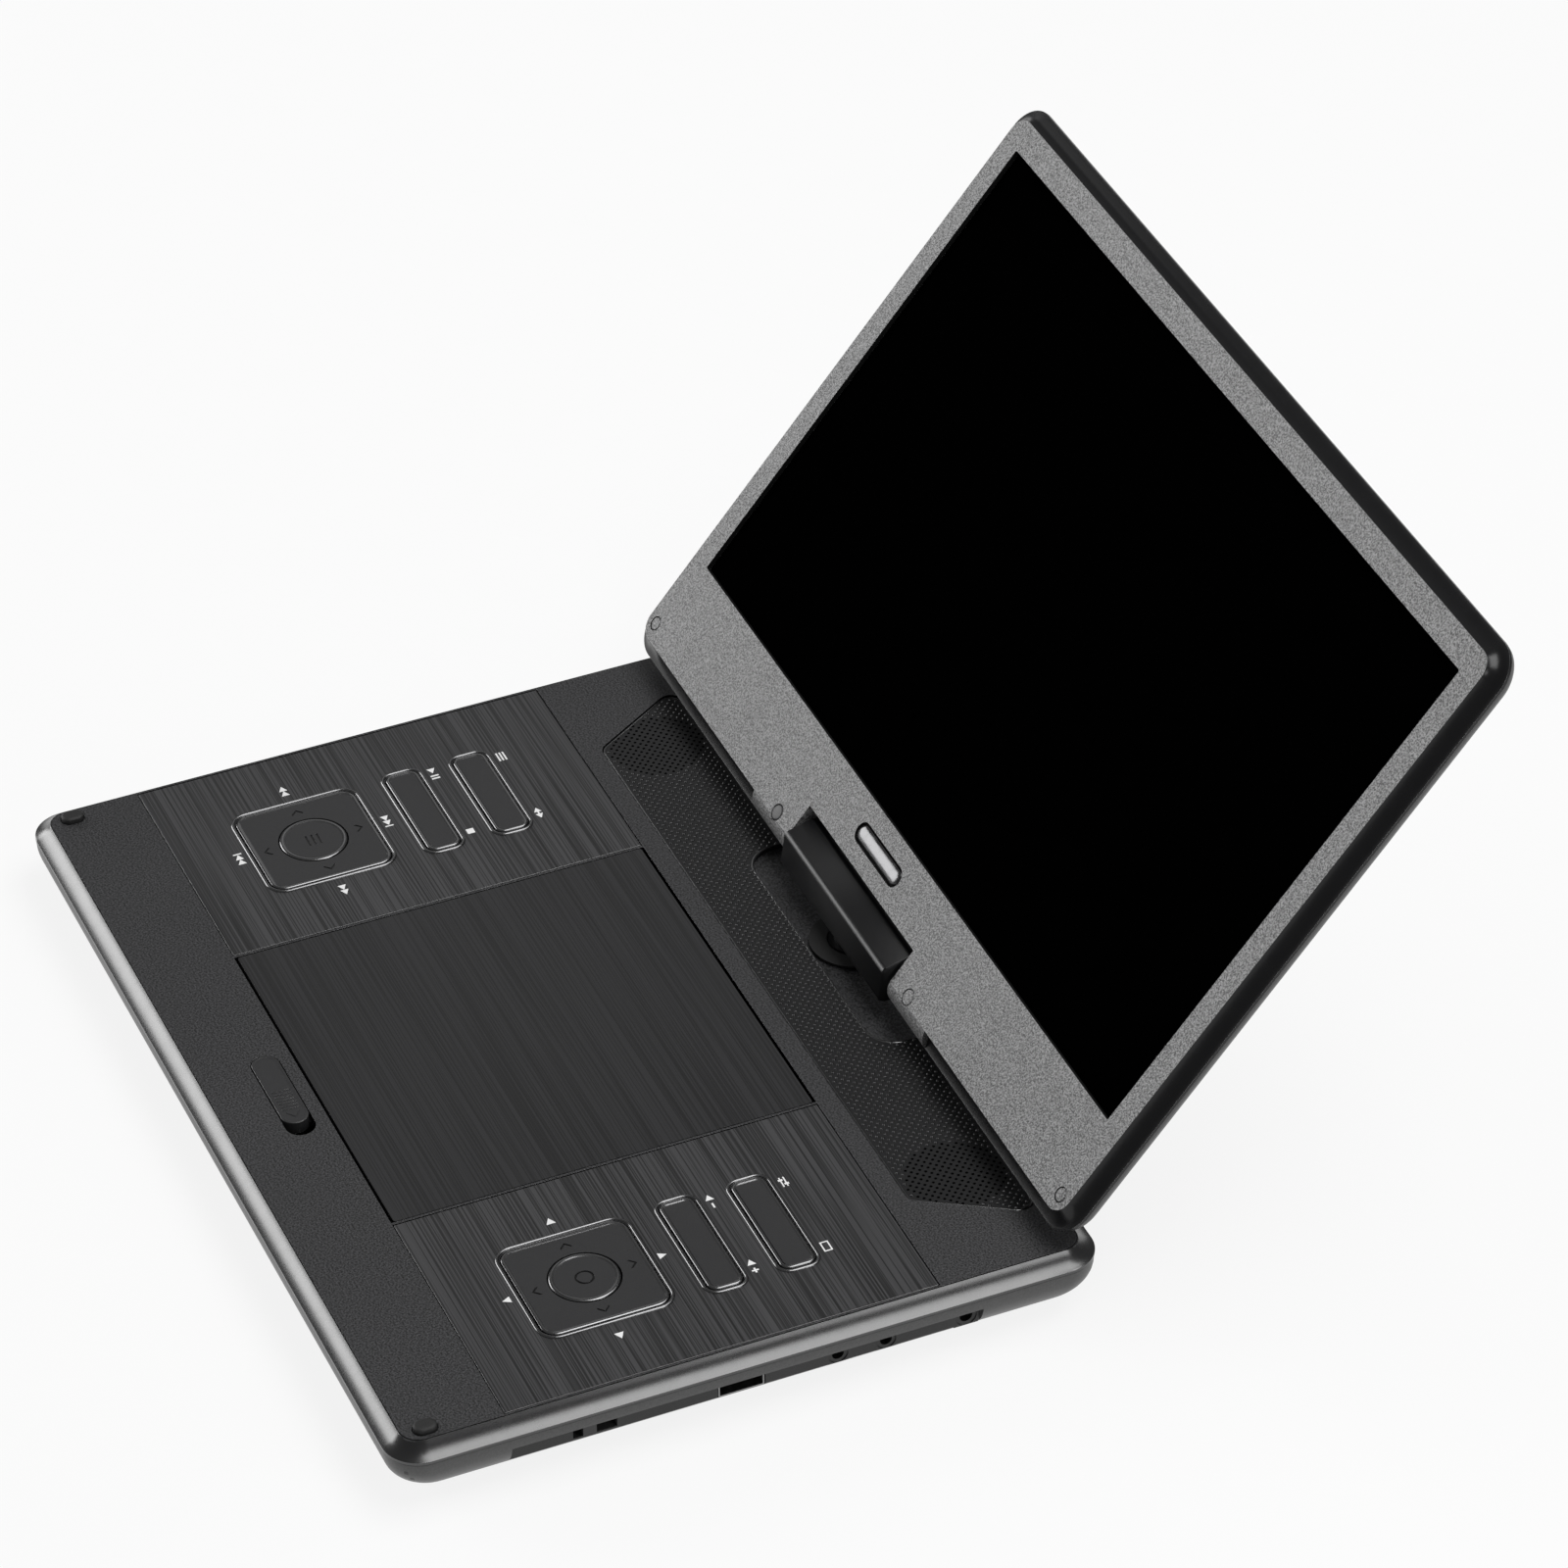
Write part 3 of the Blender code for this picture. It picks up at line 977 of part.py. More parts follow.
def make_screen(shop, tilt):
    """Screen frame, back cover, panel, driver board, badge and screw covers."""
    face = SCREEN_HALF
    window = [-WINDOW_WIDTH / 2, WINDOW_WIDTH / 2, WINDOW_BOTTOM, WINDOW_BOTTOM + WINDOW_HEIGHT]
    rings = [at_height(rounded_rect(*window, 0.6), face)]
    rings += [at_height(screen_outline(out), face - down)
              for out, down in cove_profile(SCREEN_COVE_WIDTH, SCREEN_COVE_DROP)]
    rings.append(at_height(screen_outline(SCREEN_COVE_WIDTH), SCREEN_SEAM))
    rings.append(at_height(screen_outline(-SKIRT_WALL), SCREEN_SEAM))
    rings.append(at_height(screen_outline(-SKIRT_WALL), face - BEZEL_PLATE))
    rings.append(at_height(rounded_rect(*window, 0.6), face - BEZEL_PLATE))
    bezel = shop.skin("screen_bezel", rings, "bezel_grey", tilt, looped=True)
    notch_wall = shop.box("bezel_notch_wall", (-NOTCH_HALF - NOTCH_WALL, NOTCH_HALF + NOTCH_WALL),
                          (NOTCH_TOP - 1, NOTCH_TOP + NOTCH_WALL), (SCREEN_SEAM, face - 0.4), None, tilt)
    shop.join(bezel, *ear_tools(shop, tilt, "bezel", SCREEN_SEAM, 20), notch_wall)

    seam_back = SCREEN_SEAM - SEAM
    start = SCREEN_COVE_WIDTH - SEAM
    outer = hull_rings(screen_outline, start, seam_back, 0.0, BACK_INSET, -face)
    inner = hull_rings(screen_outline, start - BACK_WALL, seam_back, 0.0, BACK_INSET, -face + BACK_WALL)
    back = shop.skin("screen_back_cover", outer[:0:-1] + inner[1:], "case_grey", tilt)
    back_wall = shop.box("back_notch_wall", (-NOTCH_HALF - NOTCH_WALL, NOTCH_HALF + NOTCH_WALL),
                         (NOTCH_TOP - 1, NOTCH_TOP + NOTCH_WALL), (-face + 0.5, seam_back), None, tilt)
    shop.join(back, *ear_tools(shop, tilt, "back", -20, seam_back), back_wall)

    notch = shop.box("hinge_notch", (-NOTCH_HALF, NOTCH_HALF), (-40, NOTCH_TOP), (-20, 20), None, tilt)
    reach = HINGE_SHAFT_HALF + 1.0
    bore = shop.rod("ear_bore", (-reach, 0, 0), (reach, 0, 0), HINGE_SHAFT_RADIUS + GAP, None, tilt,
                    steps=16)
    for half in (bezel, back):
        shop.cut(half, notch, bore)

    covers = {"left_outer": -FLAT_HALF_WIDTH + 4.4, "left_inner": -46.0, "right_inner": 46.0,
              "right_outer": FLAT_HALF_WIDTH - 4.4}
    for label, x in covers.items():
        outer_cover = label.endswith("outer")
        y = 4.0 if outer_cover else 0.8
        radius = 2.0 if outer_cover else 2.3
        shop.cut(bezel, shop.rod(f"{label}_cover_recess", (x, y, face - 1.0), (x, y, face + 1.0),
                                 radius + GAP, None, tilt, steps=20))
        shop.rod(f"screw_cover_{label}", (x, y, face - 0.8), (x, y, face - 0.1), radius, "bezel_grey",
                 tilt, steps=20)
    make_badge(shop, tilt, bezel)

    panel = [-WINDOW_WIDTH / 2 - LCD_BORDER, WINDOW_WIDTH / 2 + LCD_BORDER, WINDOW_BOTTOM - LCD_BORDER,
             WINDOW_BOTTOM + WINDOW_HEIGHT + LCD_BORDER]
    panel_top = face - BEZEL_PLATE - GAP
    shop.prism("lcd_panel", rounded_rect(*panel, 1.0, 2), panel_top - LCD_THICKNESS, panel_top, "lcd_glass",
               tilt)
    board_top = panel_top - LCD_THICKNESS - 0.6
    board = shop.box("lcd_board", (-60, 60), (WINDOW_BOTTOM + 12, WINDOW_BOTTOM + 62),
                     (board_top - 1.6, board_top), "board_green", tilt)
    shop.join(board, shop.box("backlight_coil", (30, 44), (WINDOW_BOTTOM + 20, WINDOW_BOTTOM + 28),
                              (board_top - 2.8, board_top - 1.2), None, tilt))


def make_badge(shop, tilt, bezel):
    """A blank pill-shaped metal badge in its recess under the picture."""
    def pill(grow):
        half = BADGE_LENGTH / 2 + grow
        side = BADGE_WIDTH / 2 + grow
        return rounded_rect(-half, half, BADGE_Y - side, BADGE_Y + side, side - 0.01, 6)
    face = SCREEN_HALF
    shop.cut(bezel, shop.prism("badge_recess", pill(0.7), face - 0.9, face + 1.0, None, tilt))
    shop.skin("badge", [at_height(pill(0), face - 0.6), at_height(pill(0), face - 0.2),
                        at_height(pill(-0.9), face + 0.0)], "bright_metal", tilt)


def main():
    shop = Workshop("portable_disc_player")
    make_finishes(shop)
    base = shop.pivot("base_frame", (0, hinge_line_y(), 0))
    swivel = shop.pivot("swivel_pivot", (0, 0, 0), base)
    tilt = shop.pivot("tilt_pivot", (0, 0, HINGE_Z), swivel)
    tilt.rotation_euler.x = math.radians(SCREEN_ANGLE)
    make_bottom_case(shop, base)
    make_top_case(shop, base)
    make_deck_pieces(shop, base)
    make_keys(shop, base)
    make_lid(shop, base)
    make_slider(shop, base)
    make_disc_well(shop, base)
    make_drive(shop, base)
    make_electronics(shop, base)
    make_swivel_plate(shop, base)
    make_hinge(shop, swivel)
    make_screen(shop, tilt)
    bpy.context.view_layer.update()


main()
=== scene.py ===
"""Looks of the portable disc player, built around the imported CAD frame."""

import json
import math
from functools import partial

import bmesh
import bpy
from mathutils import Matrix, Vector, geometry

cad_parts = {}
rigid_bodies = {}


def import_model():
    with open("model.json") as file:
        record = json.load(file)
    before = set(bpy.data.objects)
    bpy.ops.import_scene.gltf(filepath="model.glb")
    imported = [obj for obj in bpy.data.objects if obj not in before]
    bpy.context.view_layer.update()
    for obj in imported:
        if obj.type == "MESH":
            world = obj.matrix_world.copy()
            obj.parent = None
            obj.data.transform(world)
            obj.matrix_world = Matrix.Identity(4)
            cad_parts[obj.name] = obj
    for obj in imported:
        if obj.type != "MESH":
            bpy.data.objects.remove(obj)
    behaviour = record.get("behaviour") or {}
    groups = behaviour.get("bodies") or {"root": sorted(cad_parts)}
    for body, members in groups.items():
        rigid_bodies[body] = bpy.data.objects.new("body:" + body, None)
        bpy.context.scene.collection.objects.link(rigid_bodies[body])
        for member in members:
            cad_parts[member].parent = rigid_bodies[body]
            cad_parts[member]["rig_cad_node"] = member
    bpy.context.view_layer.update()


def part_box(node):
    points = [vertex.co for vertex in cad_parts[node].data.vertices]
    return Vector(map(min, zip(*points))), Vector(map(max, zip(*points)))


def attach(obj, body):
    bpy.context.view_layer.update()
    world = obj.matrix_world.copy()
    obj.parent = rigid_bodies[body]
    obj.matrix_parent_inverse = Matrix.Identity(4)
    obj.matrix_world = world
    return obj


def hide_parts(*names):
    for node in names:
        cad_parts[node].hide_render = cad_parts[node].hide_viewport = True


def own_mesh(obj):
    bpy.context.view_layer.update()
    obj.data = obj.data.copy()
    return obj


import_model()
MM = 0.001


def middle(node):
    low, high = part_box(node)
    return [(low[i] + high[i]) / 2 / MM for i in range(3)]


def edges(node):
    low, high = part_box(node)
    return [low[i] / MM for i in range(3)], [high[i] / MM for i in range(3)]


# where the pieces are, in millimetres, from the CAD frame
HINGE_Y = middle("hinge_shaft")[1]
HINGE_Z = middle("hinge_shaft")[2]
DECK_Z = edges("top_case")[1][2]
TILT = math.radians(50.2)
LID_AXIS = (HINGE_Y - 42.5, DECK_Z - 5.3)

# the deck's outline, its rim and the band with the panels and the lid, in millimetres
FLAT_HALF = 146.2
DECK_FRONT = HINGE_Y - 192.0
DECK_REAR = HINGE_Y + 2.9
FLAT_CORNER = 5.5
COVE_WIDTH = 5.0
COVE_DROP = 3.8
RIM_LAND = 0.9
GROOVE_WIDTH = 0.34
SHELL_WALL = 1.6
CORNER_STEPS = 14
COVE_STEPS = 14
HULL_STEPS = 16
BAND_FRONT = HINGE_Y - 164.4
BAND_REAR = HINGE_Y - 39.1
LID_HALF = 62.5
SEAM_Z = DECK_Z - COVE_DROP - RIM_LAND
DECK_UNDER = DECK_Z - 2.4
PANEL_TOP = DECK_Z - 0.05
PANEL_RECESS = 0.8

# keys
KEY_X = (LID_HALF + FLAT_HALF) / 2
PAD_Y = BAND_FRONT + 39.5
ROCKER_Y = {"front": BAND_FRONT + 73.3, "rear": BAND_FRONT + 94.4}
PAD_SIZE, PAD_CORNER = 36.8, 4.3
ROCKER_LENGTH, ROCKER_WIDTH, ROCKER_CORNER = 38.3, 10.2, 2.8
BUTTON_RADIUS = 9.85
KEY_GAP = 0.3
SIGN_SIZE = 2.5

# lid release and its slot, rubber stops
SLIDER_Y = BAND_FRONT - 8.2
SLIDER_X = -2.4
SLIDER_LENGTH, SLIDER_WIDTH = 31.0, 8.0
SLOT_LENGTH, SLOT_WIDTH = 36.4, 8.6
SPRING_WIRE, SPRING_TURNS, SPRING_STEPS = 0.25, 5, 12
BUMPER_X, BUMPER_INSET = 142.4, 6.7
BUMPER_WIDTH, BUMPER_DEPTH, BUMPER_CORNER = 4.8, 6.8, 2.4

# speaker grille and the pocket of the swivel; fronts and rears are distances before the hinge
GRILLE_FRONT, GRILLE_REAR = 32.8, 1.3
GRILLE_FRONT_HALF, GRILLE_REAR_HALF = 110.8, 130.3
GRILLE_TOP = DECK_Z - 0.4
POCKET_HALF, POCKET_FRONT, POCKET_CORNER = 47.5, 13.6, 9.0
SPEAKER_X, SPEAKER_FRONT, SPEAKER_RADIUS = 106.0, 17.0, 10.5
LATTICE_FRONT = 33.4
HOLE_PITCH, HOLE_RADIUS, CLUSTER_RADIUS = 1.25, 0.46, 14.0
BUMP_RINGS, BUMP_HEIGHT, BUMP_SIDES = ((0.5, -0.03), (0.36, 0.24)), 0.36, 8

# sockets and case screws
SOCKET_Z = DECK_Z - 11.6
SOCKET_RECESS_X = 148.2
SCREW_X, SCREW_FRONT = 126, 38

# screen, in its own frame: X, up the face, out of the face
SCREEN_FACE = 6.0
SCREEN_LOW, SCREEN_HIGH = -0.9, 191.8
SCREEN_RIM, SCREEN_COVE_DROP = 4.6, 3.8
WINDOW = (-138.3, 138.3, 27.7, 183.3)
WINDOW_CORNER = 0.6
NOTCH_HALF, NOTCH_TOP, NOTCH_WALL = 36.2, 10.4, 1.6
EAR_INNER, EAR_OUTER, HINGE_BORE = 35.7, 60.0, 2.8
BADGE_Y, BADGE_LENGTH, BADGE_WIDTH = 18.7, 26.8, 5.0
SCREW_COVERS = {"left_outer": (-141.8, 4.0, 2.0), "left_inner": (-46.0, 0.8, 2.3),
                "right_inner": (46.0, 0.8, 2.3), "right_outer": (141.8, 4.0, 2.0)}

CAMERA_PLACE = (1.46413, -0.60238, 1.30212)
CAMERA_TURN = (52.496, 0.602, 66.699)
CAMERA_LENS = 165.6


# ---- shapes

def rounded_rect(x0, x1, y0, y1, radius, steps=CORNER_STEPS):
    points = []
    for turn, (cx, cy) in enumerate(((x1 - radius, y1 - radius), (x0 + radius, y1 - radius),
                                     (x0 + radius, y0 + radius), (x1 - radius, y0 + radius))):
        for step in range(steps + 1):
            angle = math.pi / 2 * (turn + step / steps)
            points.append((cx + radius * math.cos(angle), cy + radius * math.sin(angle)))
    return points


def centred_rect(x, y, wide, deep, radius, steps=8):
    return rounded_rect(x - wide / 2, x + wide / 2, y - deep / 2, y + deep / 2, radius, steps)


def rounded_polygon(corners, radius, steps=8):
    points = []
    for i, corner in enumerate(corners):
        here = Vector(corner)
        back = (Vector(corners[i - 1]) - here).normalized()
        ahead = (Vector(corners[(i + 1) % len(corners)]) - here).normalized()
        half = back.angle(ahead) / 2
        centre = here + (back + ahead).normalized() * radius / math.sin(half)
        start = (here + back * radius / math.tan(half)) - centre
        sweep = math.pi - 2 * half
        for step in range(steps + 1):
            turn = sweep * step / steps
            points.append((centre.x + start.x * math.cos(turn) - start.y * math.sin(turn),
                           centre.y + start.x * math.sin(turn) + start.y * math.cos(turn)))
    return points


def circle(cx, cy, radius, steps=48):
    turns = [math.tau * i / steps for i in range(steps)]
    return [(cx + radius * math.cos(turn), cy + radius * math.sin(turn)) for turn in turns]


def at(outline, z):
    return [(x, y, z) for x, y in outline]


def base_outline(grow, corner=None):
    corner = FLAT_CORNER + grow if corner is None else corner
    return rounded_rect(-FLAT_HALF - grow, FLAT_HALF + grow, DECK_FRONT - grow, DECK_REAR + grow,
                        max(corner, 1.0))


def screen_outline(grow, corner=None):
    corner = FLAT_CORNER + grow if corner is None else corner
    return rounded_rect(-FLAT_HALF - grow, FLAT_HALF + grow, SCREEN_LOW - grow, SCREEN_HIGH + grow,
                        max(corner, 1.0))


def new_object(name, bm):
    bmesh.ops.recalc_face_normals(bm, faces=bm.faces)
    mesh = bpy.data.meshes.new(name)
    bm.to_mesh(mesh)
    bm.free()
    made = bpy.data.objects.new(name, mesh)
    bpy.context.scene.collection.objects.link(made)
    return made


def skin(name, rings, looped=False):
    bm = bmesh.new()
    loops = [[bm.verts.new(point) for point in ring] for ring in rings]
    pairs = list(zip(loops, loops[1:]))
    if looped:
        pairs.append((loops[-1], loops[0]))
    else:
        bm.faces.new(loops[0])
        bm.faces.new(loops[-1])
    for lower, upper in pairs:
        for i in range(len(lower)):
            j = (i + 1) % len(lower)
            bm.faces.new((lower[i], lower[j], upper[j], upper[i]))
    return new_object(name, bm)


def prism(name, outline, z0, z1):
    return skin(name, [at(outline, z0), at(outline, z1)])


def box(name, x, y, z):
    return prism(name, [(x[1], y[1]), (x[0], y[1]), (x[0], y[0]), (x[1], y[0])], *z)


def rod(name, start, end, radius, steps=32):
    bm = bmesh.new()
    run = Vector(end) - Vector(start)
    bmesh.ops.create_cone(bm, cap_ends=True, segments=steps, radius1=radius, radius2=radius,
                          depth=run.length)
    bmesh.ops.rotate(bm, verts=bm.verts, matrix=run.to_track_quat("Z", "Y").to_matrix())
    bmesh.ops.translate(bm, verts=bm.verts, vec=(Vector(start) + Vector(end)) / 2)
    return new_object(name, bm)


def combined(target, steps):
    """Applies a list of (operation, tool) Booleans and removes the tools."""
    tools = []
    for operation, tool in steps:
        change = target.modifiers.new(tool.name, "BOOLEAN")
        change.operation = operation
        change.solver = "EXACT"
        change.object = tool
        tools.append(tool)
    bpy.context.view_layer.update()
    graph = bpy.context.evaluated_depsgraph_get()
    mesh = bpy.data.meshes.new_from_object(target.evaluated_get(graph))
    target.modifiers.clear()
    bm = bmesh.new()
    bm.from_mesh(mesh)
    bmesh.ops.remove_doubles(bm, verts=bm.verts, dist=0.004)
    bmesh.ops.dissolve_limit(bm, angle_limit=math.radians(0.4), verts=bm.verts, edges=bm.edges)
    bm.to_mesh(mesh)
    bm.free()
    target.data = mesh
    for tool in tools:
        bpy.data.objects.remove(tool)
    return target


def cutters(*tools):
    return [("DIFFERENCE", tool) for tool in tools]


def unions(*tools):
    return [("UNION", tool) for tool in tools]


def merged(name, parts):
    """Joins several loose meshes into one object."""
    bm = bmesh.new()
    for part in parts:
        bm.from_mesh(part.data)
        bpy.data.objects.remove(part)
    mesh = bpy.data.meshes.new(name)
    bm.to_mesh(mesh)
    bm.free()
    made = bpy.data.objects.new(name, mesh)
    bpy.context.scene.collection.objects.link(made)
    return made


SCREEN_PLACE = Matrix.Translation((0, HINGE_Y, HINGE_Z)) @ Matrix.Rotation(TILT, 4, "X")


def dress(piece, body, looks, bevel=0.2, segments=2, angle=32, chooser=None, screen=False, replaces=(),
          edge=None):
    """Assigns looks by face, turns millimetres into metres, rounds the edges and gives it to a body."""
    looks = looks + [edge] if edge else looks
    mesh = piece.data
    mesh.materials.clear()
    for look in looks:
        mesh.materials.append(look)
    for polygon in mesh.polygons:
        polygon.material_index = chooser(polygon.center, polygon.normal) if chooser else 0
        polygon.use_smooth = True
    place = SCREEN_PLACE if screen else Matrix.Identity(4)
    mesh.transform(Matrix.Diagonal((MM, MM, MM, 1)) @ place)
    mesh.set_sharp_from_angle(angle=math.radians(angle))
    if bevel:
        rounding = piece.modifiers.new("edge_rounding", "BEVEL")
        rounding.width = bevel * MM
        rounding.segments = segments
        rounding.limit_method = "ANGLE"
        rounding.angle_limit = math.radians(angle)
        rounding.use_clamp_overlap = True
        rounding.harden_normals = False
        # When an edge look is given, the rounded edges take it; its lighter colour is a painted
        # highlight.
        rounding.material = len(looks) - 1 if edge else -1
        normals = piece.modifiers.new("face_normals", "WEIGHTED_NORMAL")
        normals.keep_sharp = False
        normals.weight = 50
        mesh.set_sharp_from_angle(angle=math.radians(180))
    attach(piece, body)
    if replaces:
        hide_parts(*replaces)
    return piece


# ---- looks

class Look:
    """A procedural material: texture helpers around one Principled shader."""

    def __init__(self, name, colour, roughness, metallic=0.0, specular=0.5):
        self.material = bpy.data.materials.new(name)
        self.material.use_nodes = True
        self.tree = self.material.node_tree
        self.shader = self.tree.nodes["Principled BSDF"]
        self.colour = colour
        self.roughness = roughness
        self.shader.inputs["Base Color"].default_value = (*colour, 1)
        self.shader.inputs["Roughness"].default_value = roughness
        self.shader.inputs["Metallic"].default_value = metallic
        self.shader.inputs["Specular IOR Level"].default_value = specular
        self.place = self.tree.nodes.new("ShaderNodeTexCoord").outputs["Object"]
        self.bump = None

    def node(self, kind, **values):
        made = self.tree.nodes.new(kind)
        for key, value in values.items():
            setattr(made, key, value)
        return made

    def link(self, start, end):
        self.tree.links.new(start, end)

    def noise(self, scale, detail=3.0, rough=0.55, stretch=(1, 1, 1)):
        source = self.place
        if stretch != (1, 1, 1):
            mapping = self.node("ShaderNodeMapping")
            mapping.inputs["Scale"].default_value = stretch
            self.link(self.place, mapping.inputs["Vector"])
            source = mapping.outputs["Vector"]
        made = self.node("ShaderNodeTexNoise")
        made.inputs["Scale"].default_value = scale
        made.inputs["Detail"].default_value = detail
        made.inputs["Roughness"].default_value = rough
        self.link(source, made.inputs["Vector"])
        return made.outputs["Fac"]

    def ramp(self, value, low, high, out_low, out_high):
        made = self.node("ShaderNodeMapRange")
        for key, number in (("From Min", low), ("From Max", high), ("To Min", out_low),
                            ("To Max", out_high)):
            made.inputs[key].default_value = number
        self.link(value, made.inputs["Value"])
        return made.outputs["Result"]

    def multiply(self, first, second):
        made = self.node("ShaderNodeMath", operation="MULTIPLY")
        self.link(first, made.inputs[0])
        self.link(second, made.inputs[1])
        return made.outputs[0]

    def shade(self, factor):
        """Colour multiplied by a number from a texture."""
        made = self.node("ShaderNodeVectorMath", operation="SCALE")
        made.inputs[0].default_value = self.colour
        self.link(factor, made.inputs["Scale"])
        self.link(made.outputs[0], self.shader.inputs["Base Color"])
        return self

    def rough(self, value):
        self.link(value, self.shader.inputs["Roughness"])
        return self

    def relief(self, height, distance, strength=1.0):
        made = self.node("ShaderNodeBump")
        made.inputs["Strength"].default_value = strength
        made.inputs["Distance"].default_value = distance
        self.link(height, made.inputs["Height"])
        if self.bump:
            self.link(self.bump, made.inputs["Normal"])
        self.bump = made.outputs["Normal"]
        self.link(self.bump, self.shader.inputs["Normal"])
        return self


def grained(name, colour, roughness, size=0.35, depth=0.00003, contrast=0.25, specular=0.5):
    """Moulded plastic with a fine spark-eroded grain."""
    look = Look(name, colour, roughness, specular=specular)
    fine = look.noise(1000 / size, 1.0, 0.5)
    broad = look.noise(22, 3.0)
    tint = look.multiply(look.ramp(fine, 0.35, 0.65, 1 - contrast, 1 + contrast),
                         look.ramp(broad, 0.3, 0.7, 0.96, 1.04))
    look.shade(tint)
    look.rough(look.ramp(broad, 0.3, 0.7, roughness - 0.03, roughness + 0.03))
    look.relief(fine, depth, 1.0)
    return look.material


def glossy(name, colour, roughness, specular=0.5, metallic=0.0):
    """Polished plastic with the faint waviness and rub marks of use."""
    look = Look(name, colour, roughness, metallic, specular)
    marks = look.noise(160, 4.0, 0.7)
    waves = look.noise(40, 1.0)
    look.rough(look.ramp(marks, 0.35, 0.75, roughness * 0.95, roughness * 1.1))
    look.shade(look.ramp(marks, 0.3, 0.7, 0.95, 1.05))
    look.relief(waves, 0.00002, 0.08)
    return look.material


def brushed(name, colour, roughness, contrast, specular=0.5):
    """Film with hairlines along X: fine ones all over and a few wider, darker ones."""
    look = Look(name, colour, roughness, specular=specular)
    hair = look.noise(1, 0.0, 0.5, (9, 2500, 2500))
    strand = look.noise(1, 0.0, 0.5, (7, 1250, 1250))
    bundle = look.noise(1, 1.0, 0.5, (7, 260, 260))
    dark_lines = look.ramp(strand, 0.3, 0.36, 1 - contrast * 0.7, 1.0)
    hairlines = look.ramp(hair, 0.38, 0.56, 1 - contrast, 1 + contrast * 0.35)
    streaks = look.ramp(bundle, 0.35, 0.65, 1 - contrast * 0.05, 1 + contrast * 0.05)
    look.shade(look.multiply(look.multiply(dark_lines, hairlines), streaks))
    look.rough(look.ramp(hair, 0.3, 0.7, roughness - 0.04, roughness + 0.04))
    look.relief(hair, 0.00003, 0.5)
    return look.material


def metal(name, colour, roughness, stretch=(1, 1, 1), scale=900):
    look = Look(name, colour, roughness, 1.0)
    marks = look.noise(scale, 3.0, 0.6, stretch)
    look.shade(look.ramp(marks, 0.3, 0.7, 0.88, 1.08))
    look.rough(look.ramp(marks, 0.3, 0.7, max(roughness - 0.06, 0.03), roughness + 0.1))
    look.relief(marks, 0.00001, 0.3)
    return look.material


def board_look(name):
    look = Look(name, (0.012, 0.09, 0.035), 0.35)
    tracks = look.noise(700, 1.0, 0.3, (1, 3, 1))
    look.shade(look.ramp(tracks, 0.48, 0.52, 0.7, 1.6))
    look.relief(tracks, 0.00003, 0.3)
    return look.material


def screen_glass(name):
    look = Look(name, (0.0004, 0.0004, 0.0004), 0.5, specular=0.0)
    haze = look.noise(2600, 2.0)
    look.rough(look.ramp(haze, 0.3, 0.7, 0.46, 0.54))
    look.shade(look.ramp(haze, 0.3, 0.7, 0.8, 1.2))
    return look.material


DECK = grained("deck_grain", (0.025, 0.025, 0.0265), 0.5, size=0.55, contrast=0.9, depth=0.0002)
GLOSS = glossy("cove_gloss", (0.005, 0.005, 0.0055), 0.26, specular=1.0)
SCREEN_GLOSS = glossy("screen_cove_gloss", (0.005, 0.005, 0.0055), 0.26, specular=0.35)
# Near-black look for the deck's groove, the sunk floors, the screen's window walls, the badge recess
# and the shells' inner faces: painted shade in recesses.
RECESS_SHADE = grained("painted_recess_shade", (0.003, 0.003, 0.003), 0.8, specular=0.15)
PANEL = brushed("panel_hairline", (0.035, 0.035, 0.0365), 0.42, 0.75)
LID = brushed("lid_hairline", (0.0125, 0.0125, 0.0135), 0.42, 0.6)
KEY = grained("key_satin", (0.02, 0.02, 0.021), 0.42, size=0.3, contrast=0.15)
LIP = glossy("key_surround_gloss", (0.17, 0.17, 0.172), 0.22, metallic=1.0)
WEAVE = glossy("grille_gloss", (0.06, 0.06, 0.061), 0.25, metallic=1.0)
MARK = glossy("engraved_mark", (0.003, 0.003, 0.003), 0.3, specular=0.3)
# Look for the rounded edges of the deck, panels, lid and slider: glossier than the faces, which is
# real, and lighter in colour, which is a painted highlight.
EDGE_HIGHLIGHT = glossy("edge_gloss_and_painted_highlight", (0.05, 0.05, 0.052), 0.25, specular=1.0)
# Rounded edges of the bezel: a little glossier, which is real, and twice as light as the bezel, which
# is a painted highlight.
BEZEL_EDGE_HIGHLIGHT = glossy("bezel_edge_gloss_and_painted_highlight", (0.34, 0.34, 0.342), 0.3)
# A darker grey for the left inner screw cover alone.
DARKER_COVER = grained("darker_cover_grain", (0.045, 0.045, 0.046), 0.5, size=0.4, contrast=0.2)
INK = grained("white_ink", (0.85, 0.85, 0.85), 0.5, size=0.2, contrast=0.05)
GRILLE = grained("grille_plastic", (0.007, 0.007, 0.0075), 0.4, size=0.3, contrast=0.2, specular=0.35)
# Bezel plastic with a real grain; its grey is lifted well above the deck's dark plastic as painted
# sheen from the front light.
BEZEL_WITH_SHEEN = grained("bezel_grain_and_painted_sheen", (0.163, 0.163, 0.164), 0.45, size=0.5, contrast=0.8, depth=0.0002)
CASE = grained("case_satin", (0.05, 0.05, 0.05), 0.38, size=0.45, contrast=0.15)
HINGE = grained("hinge_satin", (0.004, 0.004, 0.0045), 0.34, size=0.25, contrast=0.2, specular=0.4)
RUBBER = grained("rubber", (0.01, 0.01, 0.01), 0.6, size=0.5, contrast=0.25)
CHROME = metal("badge_chrome", (0.1, 0.1, 0.102), 0.2, scale=400)
STEEL = metal("turned_steel", (0.5, 0.5, 0.51), 0.3, (1, 30, 1))
PLATED = metal("plated_shell", (0.25, 0.25, 0.25), 0.35)
